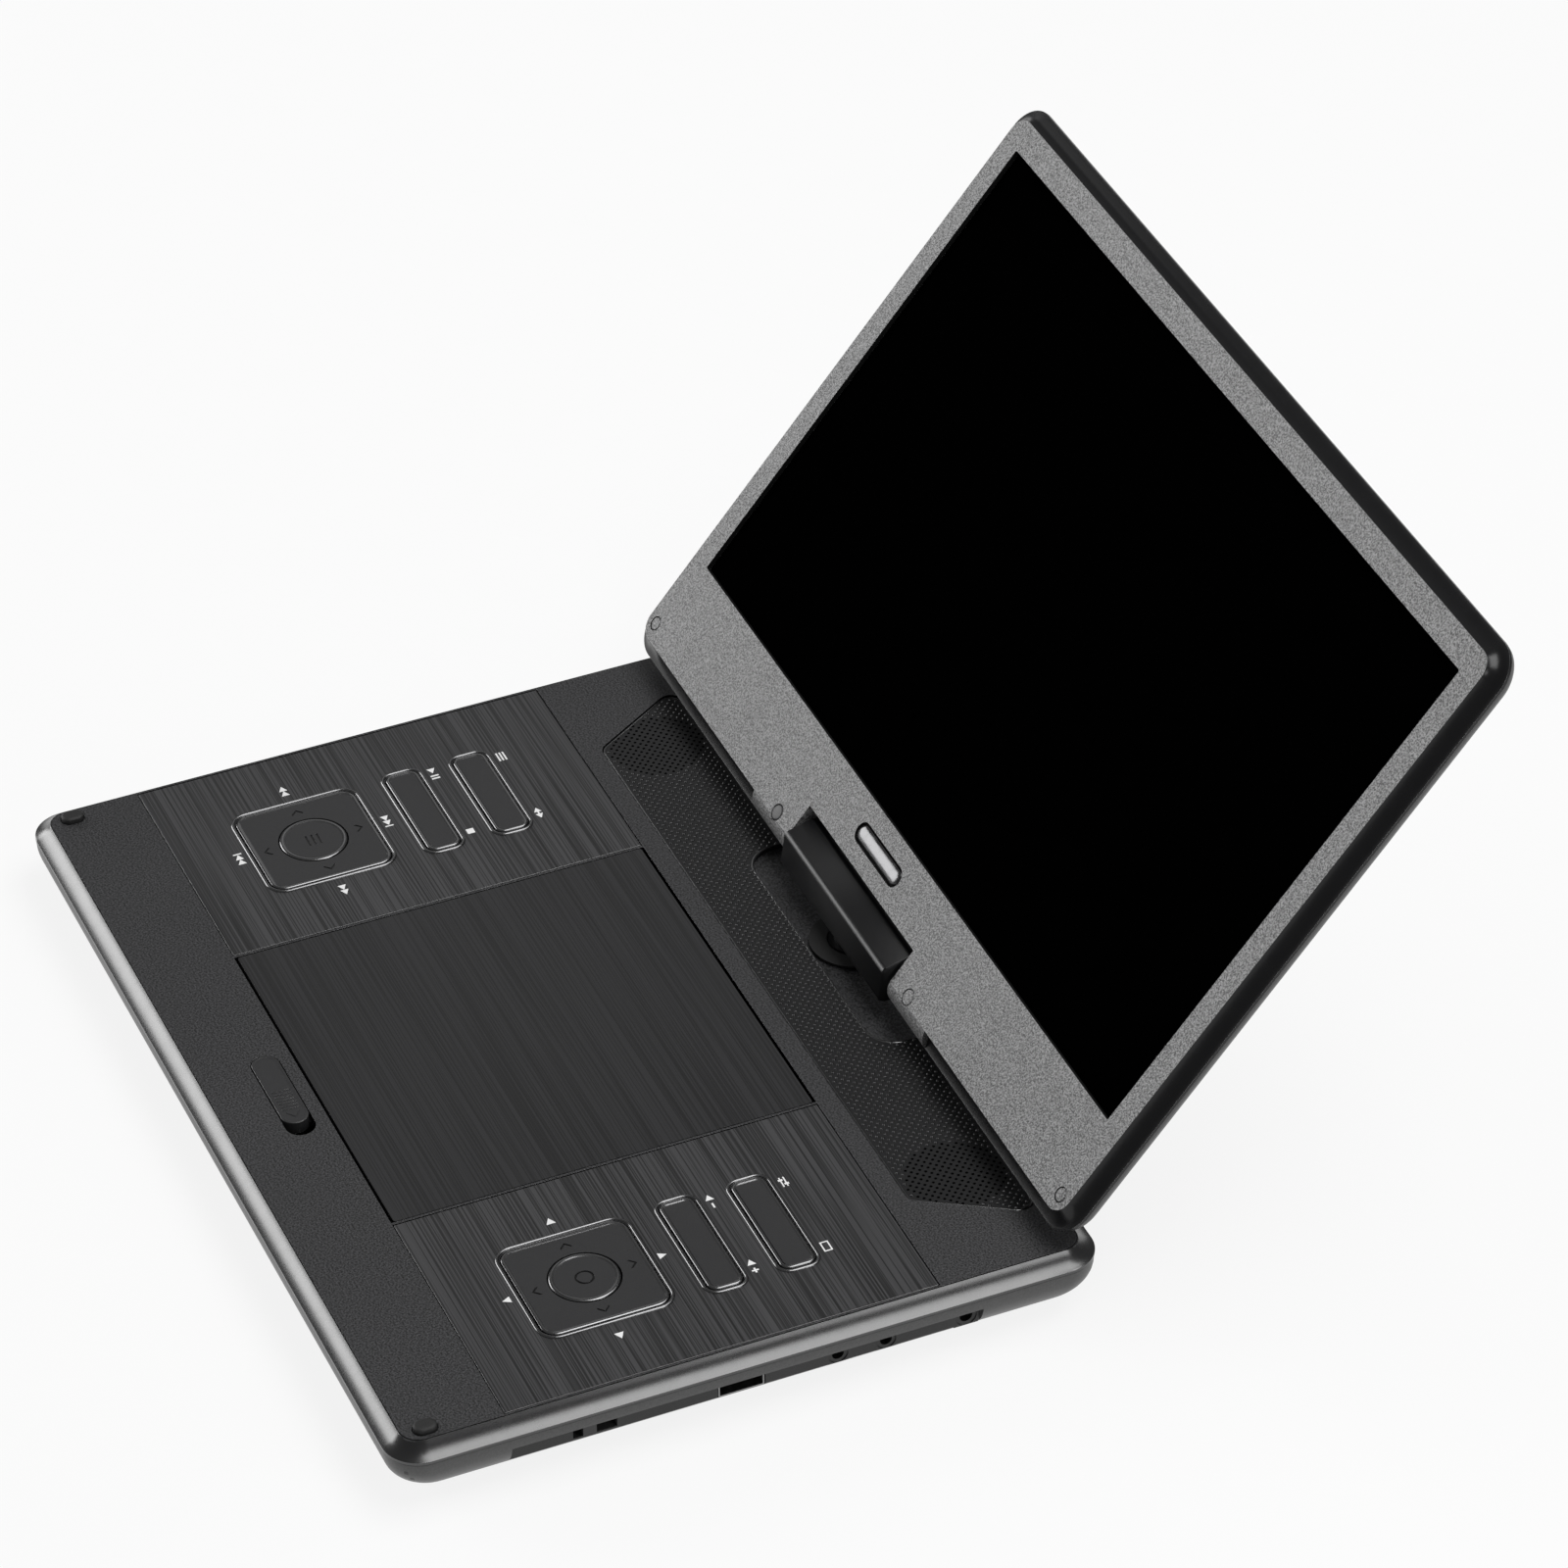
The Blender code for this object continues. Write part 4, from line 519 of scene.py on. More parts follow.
BOARD = board_look("circuit_board")
GLASS = screen_glass("screen_film")
# Near-black plastic of the jacks, speakers and pickup; on the case's socket recess wall it is painted
# shade.
SOCKET_BLACK_AND_SHADE = grained("socket_plastic_and_painted_shade", (0.008, 0.008, 0.008), 0.5, size=0.4, contrast=0.25)
WRAP = glossy("cell_wrap", (0.03, 0.06, 0.16), 0.3)
INNER = grained("well_plastic", (0.022, 0.022, 0.023), 0.45, size=0.5, contrast=0.2)


# ---- base

def key_outline(kind, side, grow):
    x = side * KEY_X
    if kind == "pad":
        return centred_rect(x, PAD_Y, PAD_SIZE + 2 * grow, PAD_SIZE + 2 * grow, PAD_CORNER + grow)
    return centred_rect(x, ROCKER_Y[kind], ROCKER_LENGTH + 2 * grow, ROCKER_WIDTH + 2 * grow,
                        ROCKER_CORNER + grow)


def grille_outline(shrink, radius=4.0):
    front, rear = HINGE_Y - GRILLE_FRONT, HINGE_Y - GRILLE_REAR
    slope = (GRILLE_REAR_HALF - GRILLE_FRONT_HALF) / (rear - front)
    sideways = shrink * math.hypot(1.0, slope)
    low = GRILLE_FRONT_HALF + slope * shrink - sideways
    high = GRILLE_REAR_HALF - slope * shrink - sideways
    return rounded_polygon(((-low, front + shrink), (low, front + shrink), (high, rear - shrink),
                            (-high, rear - shrink)), radius)


def pocket_outline(grow):
    return rounded_rect(-POCKET_HALF - grow, POCKET_HALF + grow, HINGE_Y - POCKET_FRONT - grow,
                        DECK_REAR + 14.0, POCKET_CORNER, 8)


def pocket_path(grow):
    """The pocket's edge where it borders the grille: down one side, along the front and back up."""
    rear = HINGE_Y - GRILLE_REAR - 0.4
    corner_x = POCKET_HALF - POCKET_CORNER + grow
    corner_y = HINGE_Y - POCKET_FRONT + POCKET_CORNER - grow
    points = [(-POCKET_HALF - grow, rear)]
    for turn, x in ((2, -corner_x), (3, corner_x)):
        for step in range(9):
            angle = math.pi / 2 * (turn + step / 8)
            points.append((x + POCKET_CORNER * math.cos(angle),
                           corner_y + POCKET_CORNER * math.sin(angle)))
    return points + [(POCKET_HALF + grow, rear)]


def slider_outline(length, width, x):
    return centred_rect(x, SLIDER_Y, length, width, width / 2 - 0.01, 12)


def bumper_outline(x, grow):
    return centred_rect(x, DECK_FRONT + BUMPER_INSET, BUMPER_WIDTH + 2 * grow, BUMPER_DEPTH + 2 * grow,
                        BUMPER_CORNER + grow - 0.01)


def cove(width, drop, start=38.0, end=70.0):
    """A hollow curve, steepest at the flat and almost level at the rim."""
    low, high = math.radians(start), math.radians(end)
    angles = [low + (high - low) * i / COVE_STEPS for i in range(COVE_STEPS + 1)]
    across = math.cos(low) - math.cos(high)
    down = math.sin(high) - math.sin(low)
    return [(width * (math.cos(low) - math.cos(angle)) / across,
             drop * (math.sin(angle) - math.sin(low)) / down) for angle in angles]


def beyond_flat(x, y):
    """Distance outside the deck's flat outline."""
    half_y = (DECK_REAR - DECK_FRONT) / 2
    over_x = abs(x) - FLAT_HALF + FLAT_CORNER
    over_y = abs(y - DECK_FRONT - half_y) - half_y + FLAT_CORNER
    return math.hypot(max(over_x, 0), max(over_y, 0)) + min(max(over_x, over_y), 0) - FLAT_CORNER


def make_deck():
    rings = [at(base_outline(0), DECK_Z), at(base_outline(0.04), DECK_Z - GROOVE_WIDTH),
             at(base_outline(0.3), DECK_Z - GROOVE_WIDTH)]
    rings += [at(base_outline(GROOVE_WIDTH + out), DECK_Z - 0.1 - down)
              for out, down in cove(COVE_WIDTH - GROOVE_WIDTH, COVE_DROP - 0.1)]
    rings.append(at(base_outline(COVE_WIDTH), SEAM_Z))
    rings.append(at(base_outline(-SHELL_WALL), SEAM_Z))
    rings.append(at(base_outline(-SHELL_WALL), DECK_UNDER))
    deck = skin("upper_case", rings)
    saddle = box("saddle", (-49.5, 49.5), (DECK_REAR - 4, DECK_REAR + 4.95), (SEAM_Z, DECK_Z - 0.2))
    through = (SEAM_Z - 2, DECK_Z + 2)
    spring_end = edges("slider_spring")[1][0] + 0.3
    spring_stop = box("spring_stop", (spring_end, spring_end + 1.5), (SLIDER_Y - 3, SLIDER_Y + 3),
                      (DECK_UNDER - 5.0, DECK_UNDER + 0.3))
    y, z = LID_AXIS
    swing = math.hypot(BAND_REAR - 0.9 - y, DECK_Z - z) + 0.3
    tools = [box("lid_opening", (-LID_HALF, LID_HALF), (BAND_FRONT, BAND_REAR), through),
             rod("lid_swing", (-LID_HALF, y, z), (LID_HALF, y, z), swing, 96)]
    for side in (-1, 1):
        x = sorted((side * (LID_HALF + PANEL_RECESS), side * (FLAT_HALF - 0.5)))
        tools.append(box("panel_recess", x, (BAND_FRONT, BAND_REAR), (DECK_Z - 1.35, DECK_Z + 2)))
        for kind in ("pad", "front", "rear"):
            tools.append(prism("key_hole", key_outline(kind, side, KEY_GAP), *through))
        tools.append(prism("bumper_recess", bumper_outline(side * BUMPER_X, 0.25), DECK_Z - 0.8,
                           DECK_Z + 2))
        tools.append(rod("speaker_hole", (side * SPEAKER_X, HINGE_Y - SPEAKER_FRONT, SEAM_Z),
                         (side * SPEAKER_X, HINGE_Y - SPEAKER_FRONT, DECK_Z), SPEAKER_RADIUS))
    tools.append(prism("grille_recess", grille_outline(0), DECK_Z - 1.9, DECK_Z + 2))
    tools.append(prism("hinge_pocket", pocket_outline(0), DECK_Z - 1.5, DECK_Z + 2))
    tools.append(prism("slider_slot", slider_outline(SLOT_LENGTH, SLOT_WIDTH, 0), *through))
    tools.append(rod("shaft_hole", (0, HINGE_Y, SEAM_Z - 2), (0, HINGE_Y, DECK_Z), 3.5))
    deck = combined(deck, unions(saddle, spring_stop) + cutters(*tools))

    def choose(centre, normal):
        beyond = beyond_flat(centre[0], centre[1])
        # The groove round the flat gets the near-black look: painted shade in the groove.
        if -0.01 < beyond < 0.31 and DECK_Z - 0.4 < centre[2] < DECK_Z - 0.05:
            return 2
        flat = abs(centre[0]) <= FLAT_HALF and DECK_FRONT <= centre[1] <= DECK_REAR
        if flat and normal[2] > 0.99 and centre[2] > DECK_Z - 0.01:
            return 0
        # Sunk floors outside the pocket, under the grille and the key panels, get the near-black look
        # as painted shade; the pocket's floor keeps the deck's grain.
        if flat and SEAM_Z + 0.1 < centre[2] < DECK_Z - 1.2 and normal[2] > 0.99:
            pocket = abs(centre[0]) < POCKET_HALF + 0.1 and centre[1] > HINGE_Y - POCKET_FRONT - 0.1
            return 0 if pocket else 2
        return 1 if not flat or centre[2] < DECK_Z - 0.4 else 0
    dress(deck, "base", [DECK, GLOSS, RECESS_SHADE], bevel=0.2, chooser=choose, replaces=["top_case"],
          edge=EDGE_HIGHLIGHT)


def hull(start, top, land, inset, bottom, outline, base_corner):
    """Rings of a tray that runs straight for its land and then curves in towards its bottom."""
    rings = [at(outline(start, base_corner), top)]
    for i in range(HULL_STEPS + 1):
        turn = math.pi / 2 * i / HULL_STEPS
        inward = inset * (1 - math.cos(turn))
        down = (abs(top - bottom) - land) * math.sin(turn)
        rings.append(at(outline(start - inward, base_corner - inward * 0.2),
                        top - math.copysign(land + down, top - bottom)))
    return rings


def make_lower_case():
    top = SEAM_Z - 0.3
    outer = hull(4.8, top, 1.0, 15.0, 2.0, base_outline, FLAT_CORNER + 4.8)
    inner = hull(2.2, top, 1.0, 15.0, 3.8, base_outline, FLAT_CORNER + 2.2)
    case = skin("lower_case", outer[::-1] + inner)
    z = SOCKET_Z
    tools = [box("socket_recess", (SOCKET_RECESS_X, 160), (BAND_FRONT, HINGE_Y - 28.6),
                 (DECK_Z - 14.9, DECK_Z - 8.3))]
    for node in ("dc_jack", "headphone_jack", "av_jack"):
        y = middle(node)[1]
        tools.append(rod("jack_hole", (138, y, z), (155, y, z), 3.1 if node == "dc_jack" else 2.9))
    y = middle("usb_port")[1]
    tools.append(box("usb_hole", (138, 155), (y - 6.9, y + 6.9), (z - 3.2, z + 3.2)))
    tools.append(box("switch_hole", (138, 155), (HINGE_Y - 146.3, HINGE_Y - 133.7), (z - 1.9, z + 1.9)))
    for side in (-1, 1):
        x, y = side * SCREW_X, HINGE_Y - SCREW_FRONT
        tools.append(rod("screw_room", (x, y, 0), (x, y, 3.0), 3.1))
    case = combined(case, cutters(*tools))

    def choose(centre, _):
        # The socket recess's back wall gets the near-black socket look, darker than the case: painted
        # shade in the recess.
        return 1 if abs(centre[0] - SOCKET_RECESS_X) < 0.05 else 0
    dress(case, "base", [CASE, SOCKET_BLACK_AND_SHADE], bevel=0.3, chooser=choose, replaces=["bottom_case"])


def surround(name, outline_of, wide=1.1, high=0.5):
    """A rounded lip around a key hole."""
    steps = 8
    rings = []
    for i in range(steps + 1):
        turn = math.pi * i / steps
        rings.append(at(outline_of(0.42 + wide / 2 - wide / 2 * math.cos(turn)),
                        DECK_Z - 0.06 + high * math.sin(turn)))
    rings.append(at(outline_of(0.42 + wide), DECK_Z - 0.5))
    rings.append(at(outline_of(0.42), DECK_Z - 0.5))
    return skin(name, rings, looped=True)


def make_key_panels():
    for side, label in ((-1, "left"), (1, "right")):
        x = sorted((side * (LID_HALF + 1.1), side * (FLAT_HALF - 0.8)))
        panel = box(f"{label}_panel", x, (BAND_FRONT + 0.3, BAND_REAR - 0.3),
                    (DECK_Z - 1.05, PANEL_TOP))
        tools = [prism("panel_hole", key_outline(kind, side, KEY_GAP), DECK_UNDER, DECK_Z + 2)
                 for kind in ("pad", "front", "rear")]
        panel = combined(panel, cutters(*tools))
        dress(panel, "base", [PANEL], bevel=0.12, replaces=[f"{label}_key_panel"],
              edge=EDGE_HIGHLIGHT)
        lips = [surround("lip", partial(key_outline, kind, side)) for kind in ("pad", "front", "rear")]
        dress(merged(f"{label}_key_surrounds", lips), "base", [LIP], bevel=0)


def make_keys():
    for side, label in ((-1, "left"), (1, "right")):
        x = side * KEY_X
        pad = skin(f"{label}_pad_cap", [at(key_outline("pad", side, grow), z) for grow, z in (
            (1.3, DECK_UNDER - 1.8), (1.3, DECK_UNDER - 0.7), (0, DECK_UNDER - 0.7), (0, DECK_Z - 0.15),
            (-0.08, DECK_Z + 0.1), (-0.3, DECK_Z + 0.25), (-0.62, DECK_Z + 0.3),
            (-1.0, DECK_Z + 0.24), (-1.3, DECK_Z + 0.14), (-1.6, DECK_Z + 0.12))])
        tools = [rod("bore", (x, PAD_Y, 0), (x, PAD_Y, DECK_Z + 4), 10.2, 64)]
        for turn in range(4):
            tools.append(chevron(x, PAD_Y, turn, DECK_Z - 0.1))
        pad = combined(pad, cutters(*tools))
        dress(pad, f"{label}_pad", [KEY, MARK, LIP], bevel=0.04,
              chooser=key_look(DECK_Z + 0.12, partial(pad_inset, side)),
              replaces=[f"{label}_nav_pad"])
        low = edges(f"{label}_nav_button")[0][2]
        button = skin(f"{label}_button_cap", [at(circle(x, PAD_Y, radius, 64), z) for radius, z in (
            (11.2, low), (11.2, low + 1.2), (BUTTON_RADIUS, low + 1.2), (BUTTON_RADIUS, DECK_Z - 0.1),
            (9.75, DECK_Z + 0.12), (9.5, DECK_Z + 0.3), (9.1, DECK_Z + 0.38), (8.7, DECK_Z + 0.32),
            (8.4, DECK_Z + 0.2), (8.1, DECK_Z + 0.17))])
        button = combined(button, cutters(*button_mark(label, x)))
        dress(button, f"{label}_button", [KEY, MARK, LIP], bevel=0.03,
              chooser=key_look(DECK_Z + 0.17, partial(button_inset, side)),
              replaces=[f"{label}_nav_button"])
        for row in ("front", "rear"):
            node = f"{label}_rocker_{row}"
            low = edges(node)[0][2]
            section = ((1.0, low), (1.0, low + 1.2), (0, low + 1.2), (0, DECK_Z - 0.05),
                       (-0.08, DECK_Z + 0.2), (-0.28, DECK_Z + 0.38), (-0.6, DECK_Z + 0.46),
                       (-0.95, DECK_Z + 0.4), (-1.25, DECK_Z + 0.28), (-1.55, DECK_Z + 0.25))
            rocker = skin(f"{label}_{row}_rocker_cap",
                          [at(key_outline(row, side, grow), z) for grow, z in section])
            dress(rocker, f"{label}_{row}_rocker", [KEY, MARK, LIP], bevel=0,
                  chooser=key_look(DECK_Z + 0.25, partial(rocker_inset, row, side)),
                  replaces=[node])


def key_look(face_z, inset_of):
    """Chooses satin for a key's face, gloss for its rounded edge and black for what is cut into it."""
    def choose(centre, normal):
        inset = inset_of(centre[0], centre[1])
        if inset > 1.2 and DECK_Z - 0.6 < centre[2] < face_z - 0.05 and normal[2] > 0.9:
            return 1
        if -0.05 < inset < 1.45 and centre[2] > DECK_Z - 0.5 and normal[2] < 0.995:
            return 2
        return 0
    return choose


def box_inset(x, y, half_x, half_y):
    return min(half_x - abs(x), half_y - abs(y))


def pad_inset(side, x, y):
    return box_inset(x - side * KEY_X, y - PAD_Y, PAD_SIZE / 2, PAD_SIZE / 2)


def button_inset(side, x, y):
    return BUTTON_RADIUS - math.hypot(x - side * KEY_X, y - PAD_Y)


def rocker_inset(row, side, x, y):
    return box_inset(x - side * KEY_X, y - ROCKER_Y[row], ROCKER_LENGTH / 2, ROCKER_WIDTH / 2)


def chevron(x, y, turn, z):
    """An engraved arrowhead pointing away from the middle of a pad."""
    arm, thick, tip = 1.7, 0.75, 15.2
    shape = [(0, tip), (arm, tip - arm), (arm, tip - arm - thick), (0, tip - thick),
             (-arm, tip - arm - thick), (-arm, tip - arm)]
    c, s = math.cos(math.pi / 2 * turn), math.sin(math.pi / 2 * turn)
    outline = [(x + px * c - py * s, y + px * s + py * c) for px, py in shape]
    return prism("chevron", outline, z, DECK_Z + 2)


def button_mark(label, x):
    """Engraved generic signs: a menu sign of three bars on the left, a ring on the right."""
    z = DECK_Z - 0.06
    if label == "left":
        return [box(f"bar_{i}", (x - 2.4, x + 2.4), (PAD_Y - 2.0 + 1.7 * i, PAD_Y - 1.4 + 1.7 * i),
                    (z, DECK_Z + 2)) for i in range(3)]
    ring = skin("ring", [at(circle(x, PAD_Y, 2.1, 32), z), at(circle(x, PAD_Y, 2.1, 32), DECK_Z + 2),
                         at(circle(x, PAD_Y, 2.75, 32), DECK_Z + 2), at(circle(x, PAD_Y, 2.75, 32), z)],
                looped=True)
    return [ring]


def triangle(x, direction=1, size=1.0):
    return [(x - direction * 0.45 * size, -0.5 * size), (x + direction * 0.45 * size, 0),
            (x - direction * 0.45 * size, 0.5 * size)][::direction]


def bar(x0, x1, y0, y1):
    return [(x0, y0), (x1, y0), (x1, y1), (x0, y1)]


# printed signs: each is a list of convex outlines in a box about one unit high
SIGNS = {
    "fast_back": [triangle(-0.45, -1), triangle(0.45, -1)],
    "fast_on": [triangle(-0.45), triangle(0.45)],
    "previous": [bar(-1.15, -0.95, -0.5, 0.5), triangle(-0.45, -1), triangle(0.45, -1)],
    "next": [triangle(-0.45), triangle(0.45), bar(0.95, 1.15, -0.5, 0.5)],
    "play_pause": [triangle(-0.7), bar(0.15, 0.4, -0.5, 0.5), bar(0.65, 0.9, -0.5, 0.5)],
    "stop": [bar(-0.45, 0.45, -0.45, 0.45)],
    "list": [bar(-0.8, 0.8, -0.5, -0.3), bar(-0.8, 0.8, -0.1, 0.1), bar(-0.8, 0.8, 0.3, 0.5)],
    "swap": [triangle(-0.6, -1, 0.9), bar(-0.2, 0.2, -0.1, 0.1), triangle(0.6, 1, 0.9)],
    "quieter": [triangle(-0.9, -1), bar(0.1, 0.9, -0.11, 0.11)],
    "louder": [triangle(-0.9, -1), bar(0.1, 0.9, -0.11, 0.11), bar(0.39, 0.61, -0.4, -0.11),
               bar(0.39, 0.61, 0.11, 0.4)],
    "adjust": [bar(-0.8, 0.8, -0.32, -0.16), bar(-0.8, 0.8, 0.16, 0.32), bar(-0.5, -0.2, -0.5, -0.32),
               bar(-0.5, -0.2, -0.16, 0.02), bar(0.2, 0.5, -0.02, 0.16), bar(0.2, 0.5, 0.32, 0.5)],
    "picture": [bar(-0.8, 0.8, -0.5, -0.34), bar(-0.8, 0.8, 0.34, 0.5), bar(-0.8, -0.64, -0.34, 0.34),
                bar(0.64, 0.8, -0.34, 0.34)],
    "left": [triangle(0, -1, 1.1)],
    "right": [triangle(0, 1, 1.1)],
    "up": [[(-0.5, -0.45), (0.5, -0.45), (0, 0.5)]],
    "down": [[(-0.5, 0.45), (0, -0.5), (0.5, 0.45)]],
}


def make_signs():
    """Signs printed on the panels, each at its distance from the middle of the pad."""
    place = {
        "left": [("fast_back", -25.3, 0), ("fast_on", 25.3, 0), ("next", 0, 22.5),
                 ("previous", 0, -22.5), ("play_pause", -15, 43.0), ("stop", 14.5, 43.0),
                 ("list", -15, 64.2), ("swap", 14.5, 64.2)],
        "right": [("left", -25.3, 0), ("right", 25.3, 0), ("up", 0, 22.5),
                  ("down", 0, -22.5), ("quieter", -14.5, 43.0), ("louder", 14.5, 43.0),
                  ("adjust", -14.5, 64.2), ("picture", 14.5, 64.2)],
    }
    for side, label in ((-1, "left"), (1, "right")):
        shapes = []
        for sign, dx, dy in place[label]:
            x, y = side * KEY_X + dx, PAD_Y + dy
            for outline in SIGNS[sign]:
                points = [(x + px * SIGN_SIZE, y + py * SIGN_SIZE) for px, py in outline]
                shapes.append(prism("sign", points, PANEL_TOP - 0.02, PANEL_TOP + 0.03))
        dress(merged(f"{label}_printed_signs", shapes), "base", [INK], bevel=0)


def make_lid():
    top = PANEL_TOP
    plate = prism("lid_plate", rounded_rect(-LID_HALF + 0.3, LID_HALF - 0.3, BAND_FRONT + 0.9,
                                            BAND_REAR - 0.9, 0.8, 4), top - 2.2, top)
    y, z = LID_AXIS
    extras = []
    for side in (-1, 1):
        low, high = sorted((side * 50.0, side * 54.0))
        extras.append(box("arm", (low + 0.05, high - 0.05), (y - 1.28, y + 1.28), (z, top - 1.7)))
        extras.append(rod("barrel", (low, y, z), (high, y, z), 1.3))
        extras.append(rod("pin", (side * 53, y, z), (side * 58, y, z), 1.1))
    extras.append(box("tongue", (-4, 3), (BAND_FRONT + 1.3, BAND_FRONT + 3.4),
                      (DECK_Z - 5.4, top - 1.7)))
    lid = combined(plate, unions(*extras))

    def choose(centre, _):
        return 0 if centre[2] > top - 2.25 else 1
    dress(lid, "lid", [LID, INNER], bevel=0.18, chooser=choose, replaces=["disc_lid"],
          edge=EDGE_HIGHLIGHT)


def make_slider():
    section = ((0, DECK_UNDER - 1.0), (0, DECK_Z + 0.1), (0.12, DECK_Z + 0.3), (0.4, DECK_Z + 0.4),
               (0.8, DECK_Z + 0.38), (1.1, DECK_Z + 0.2))
    pill = skin("lid_release", [
        at(slider_outline(SLIDER_LENGTH - 2 * inset, SLIDER_WIDTH - 2 * inset, SLIDER_X), z)
        for inset, z in section])
    plate_top = DECK_UNDER - 0.3
    right = SLIDER_X + 13.0
    extras = [box("plate", (SLIDER_X - 13.0, right), (SLIDER_Y - 5.6, SLIDER_Y + 5.6),
                  (plate_top - 1.6, plate_top)),
              box("finger", (right - 5, right - 0.2), (SLIDER_Y, BAND_FRONT + 3.2),
                  (plate_top - 1.4, plate_top - 0.4)),
              box("tab", (right - 1.2, right - 0.1), (SLIDER_Y - 2.2, SLIDER_Y + 2.2),
                  (plate_top - 4.6, plate_top - 1.4))]
    for i in range(7):
        x = SLIDER_X + 0.2 + 1.35 * i
        extras.append(box("rib", (x, x + 0.55), (SLIDER_Y - 2.5, SLIDER_Y + 2.5),
                          (DECK_Z + 0.1, DECK_Z + 0.39)))
    x = SLIDER_X + 10.2
    extras.append(prism("arrow", [(x, SLIDER_Y - 1.9), (x + 2.4, SLIDER_Y), (x, SLIDER_Y + 1.9)],
                        DECK_Z + 0.1, DECK_Z + 0.39))
    slider = combined(pill, unions(*extras))
    dress(slider, "slider", [KEY], bevel=0.08, replaces=["open_slider"], edge=EDGE_HIGHLIGHT)


def make_spring():
    """The lid release's return spring, built at one length here; the real one shortens as the slider
    moves.
    """
    low, high = edges("slider_spring")
    wire, steps = SPRING_WIRE, SPRING_TURNS * SPRING_STEPS
    coil = (high[1] - low[1]) / 2 - wire
    run = high[0] - low[0] - 2 * wire
    rings = []
    for i in range(steps + 1):
        around = math.tau * i / SPRING_STEPS
        centre = Vector((low[0] + wire + run * i / steps,
                         (low[1] + high[1]) / 2 + coil * math.cos(around),
                         (low[2] + high[2]) / 2 + coil * math.sin(around)))
        out = Vector((0, math.cos(around), math.sin(around)))
        rings.append([centre + wire * (out * math.cos(turn) + Vector((1, 0, 0)) * math.sin(turn))
                      for turn in (math.tau * k / 8 for k in range(8))])
    spring = dress(skin("return_spring", rings), "base", [STEEL], bevel=0, angle=80,
                   replaces=["slider_spring"])
    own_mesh(spring)


def make_stop_pads():
    """The two rubber pads that the shut screen rests on."""
    section = ((-0.1, -0.5), (-0.1, 1.0), (-0.2, 1.25), (-0.5, 1.48), (-1.0, 1.6), (-1.6, 1.6))
    for side, label in ((-1, "left"), (1, "right")):
        rings = [at(bumper_outline(side * BUMPER_X, grow), DECK_Z + z) for grow, z in section]
        dress(skin(f"{label}_stop_pad", rings), "base", [RUBBER], bevel=0, angle=60,
              replaces=[f"{label}_bumper"])


def in_outline(point, outline):
    inside = False
    x, y = point
    for i, (x1, y1) in enumerate(outline):
        x0, y0 = outline[i - 1]
        if (y0 > y) != (y1 > y) and x < (x1 - x0) * (y - y0) / (y1 - y0) + x0:
            inside = not inside
    return inside


def make_grille():
    """Perforated plate: open holes over the speakers and a weave of small bumps everywhere else."""
    pitch, hole, top = HOLE_PITCH, HOLE_RADIUS, GRILLE_TOP
    outline = grille_outline(0.3)
    pocket = pocket_outline(0.3)
    margin = grille_outline(1.1, 3.2)
    pocket_margin = pocket_outline(1.0)
    holes, bumps = [], []
    for i in range(-105, 106):
        for j in range(0, 27):
            if (i + j) % 2:
                continue
            spot = (i * pitch, HINGE_Y - LATTICE_FRONT + (j + 1) * pitch)
            if not in_outline(spot, margin) or in_outline(spot, pocket_margin):
                continue
            reach = math.hypot(abs(spot[0]) - SPEAKER_X, spot[1] - HINGE_Y + SPEAKER_FRONT)
            (holes if reach < CLUSTER_RADIUS else bumps).append(spot)
    loops = [outline, pocket] + [circle(*spot, hole, 10) for spot in holes]
    coords, links = [], []
    for loop in loops:
        start = len(coords)
        coords += [Vector(point) for point in loop]
        links += [(start + k, start + (k + 1) % len(loop)) for k in range(len(loop))]
    verts, _, faces, *_ = geometry.delaunay_2d_cdt(coords, links, [], 0, 1e-5)
    lattice = {(round(x / pitch), round((y - HINGE_Y + LATTICE_FRONT) / pitch)) for x, y in holes}
    bm = bmesh.new()
    made = [bm.verts.new((v.x, v.y, top)) for v in verts]
    for face in faces:
        centre = sum((verts[k] for k in face), Vector((0, 0))) / len(face)
        column = round(centre.x / pitch)
        row = round((centre.y - HINGE_Y + LATTICE_FRONT) / pitch)
        in_hole = any((column + a, row + b) in lattice and math.hypot(
            centre.x - (column + a) * pitch,
            centre.y - HINGE_Y + LATTICE_FRONT - (row + b) * pitch) < hole * 0.97
            for a in (-1, 0, 1) for b in (-1, 0, 1))
        if in_hole or not in_outline(centre, outline) or in_outline(centre, pocket):
            continue
        bm.faces.new([made[k] for k in face])
    loose = [v for v in bm.verts if not v.link_faces]
    bmesh.ops.delete(bm, geom=loose, context="VERTS")
    bmesh.ops.recalc_face_normals(bm, faces=bm.faces)
    for face in bm.faces:
        if face.normal.z < 0:
            face.normal_flip()
    grown = bmesh.ops.extrude_face_region(bm, geom=bm.faces[:])
    lower = [v for v in grown["geom"] if isinstance(v, bmesh.types.BMVert)]
    bmesh.ops.translate(bm, verts=lower, vec=(0, 0, -1.0))
    plate = new_object("speaker_grille", bm)
    dress(plate, "base", [GRILLE], bevel=0, angle=40, replaces=["rear_grille"])
    make_weave(bumps)
    make_grille_rims()


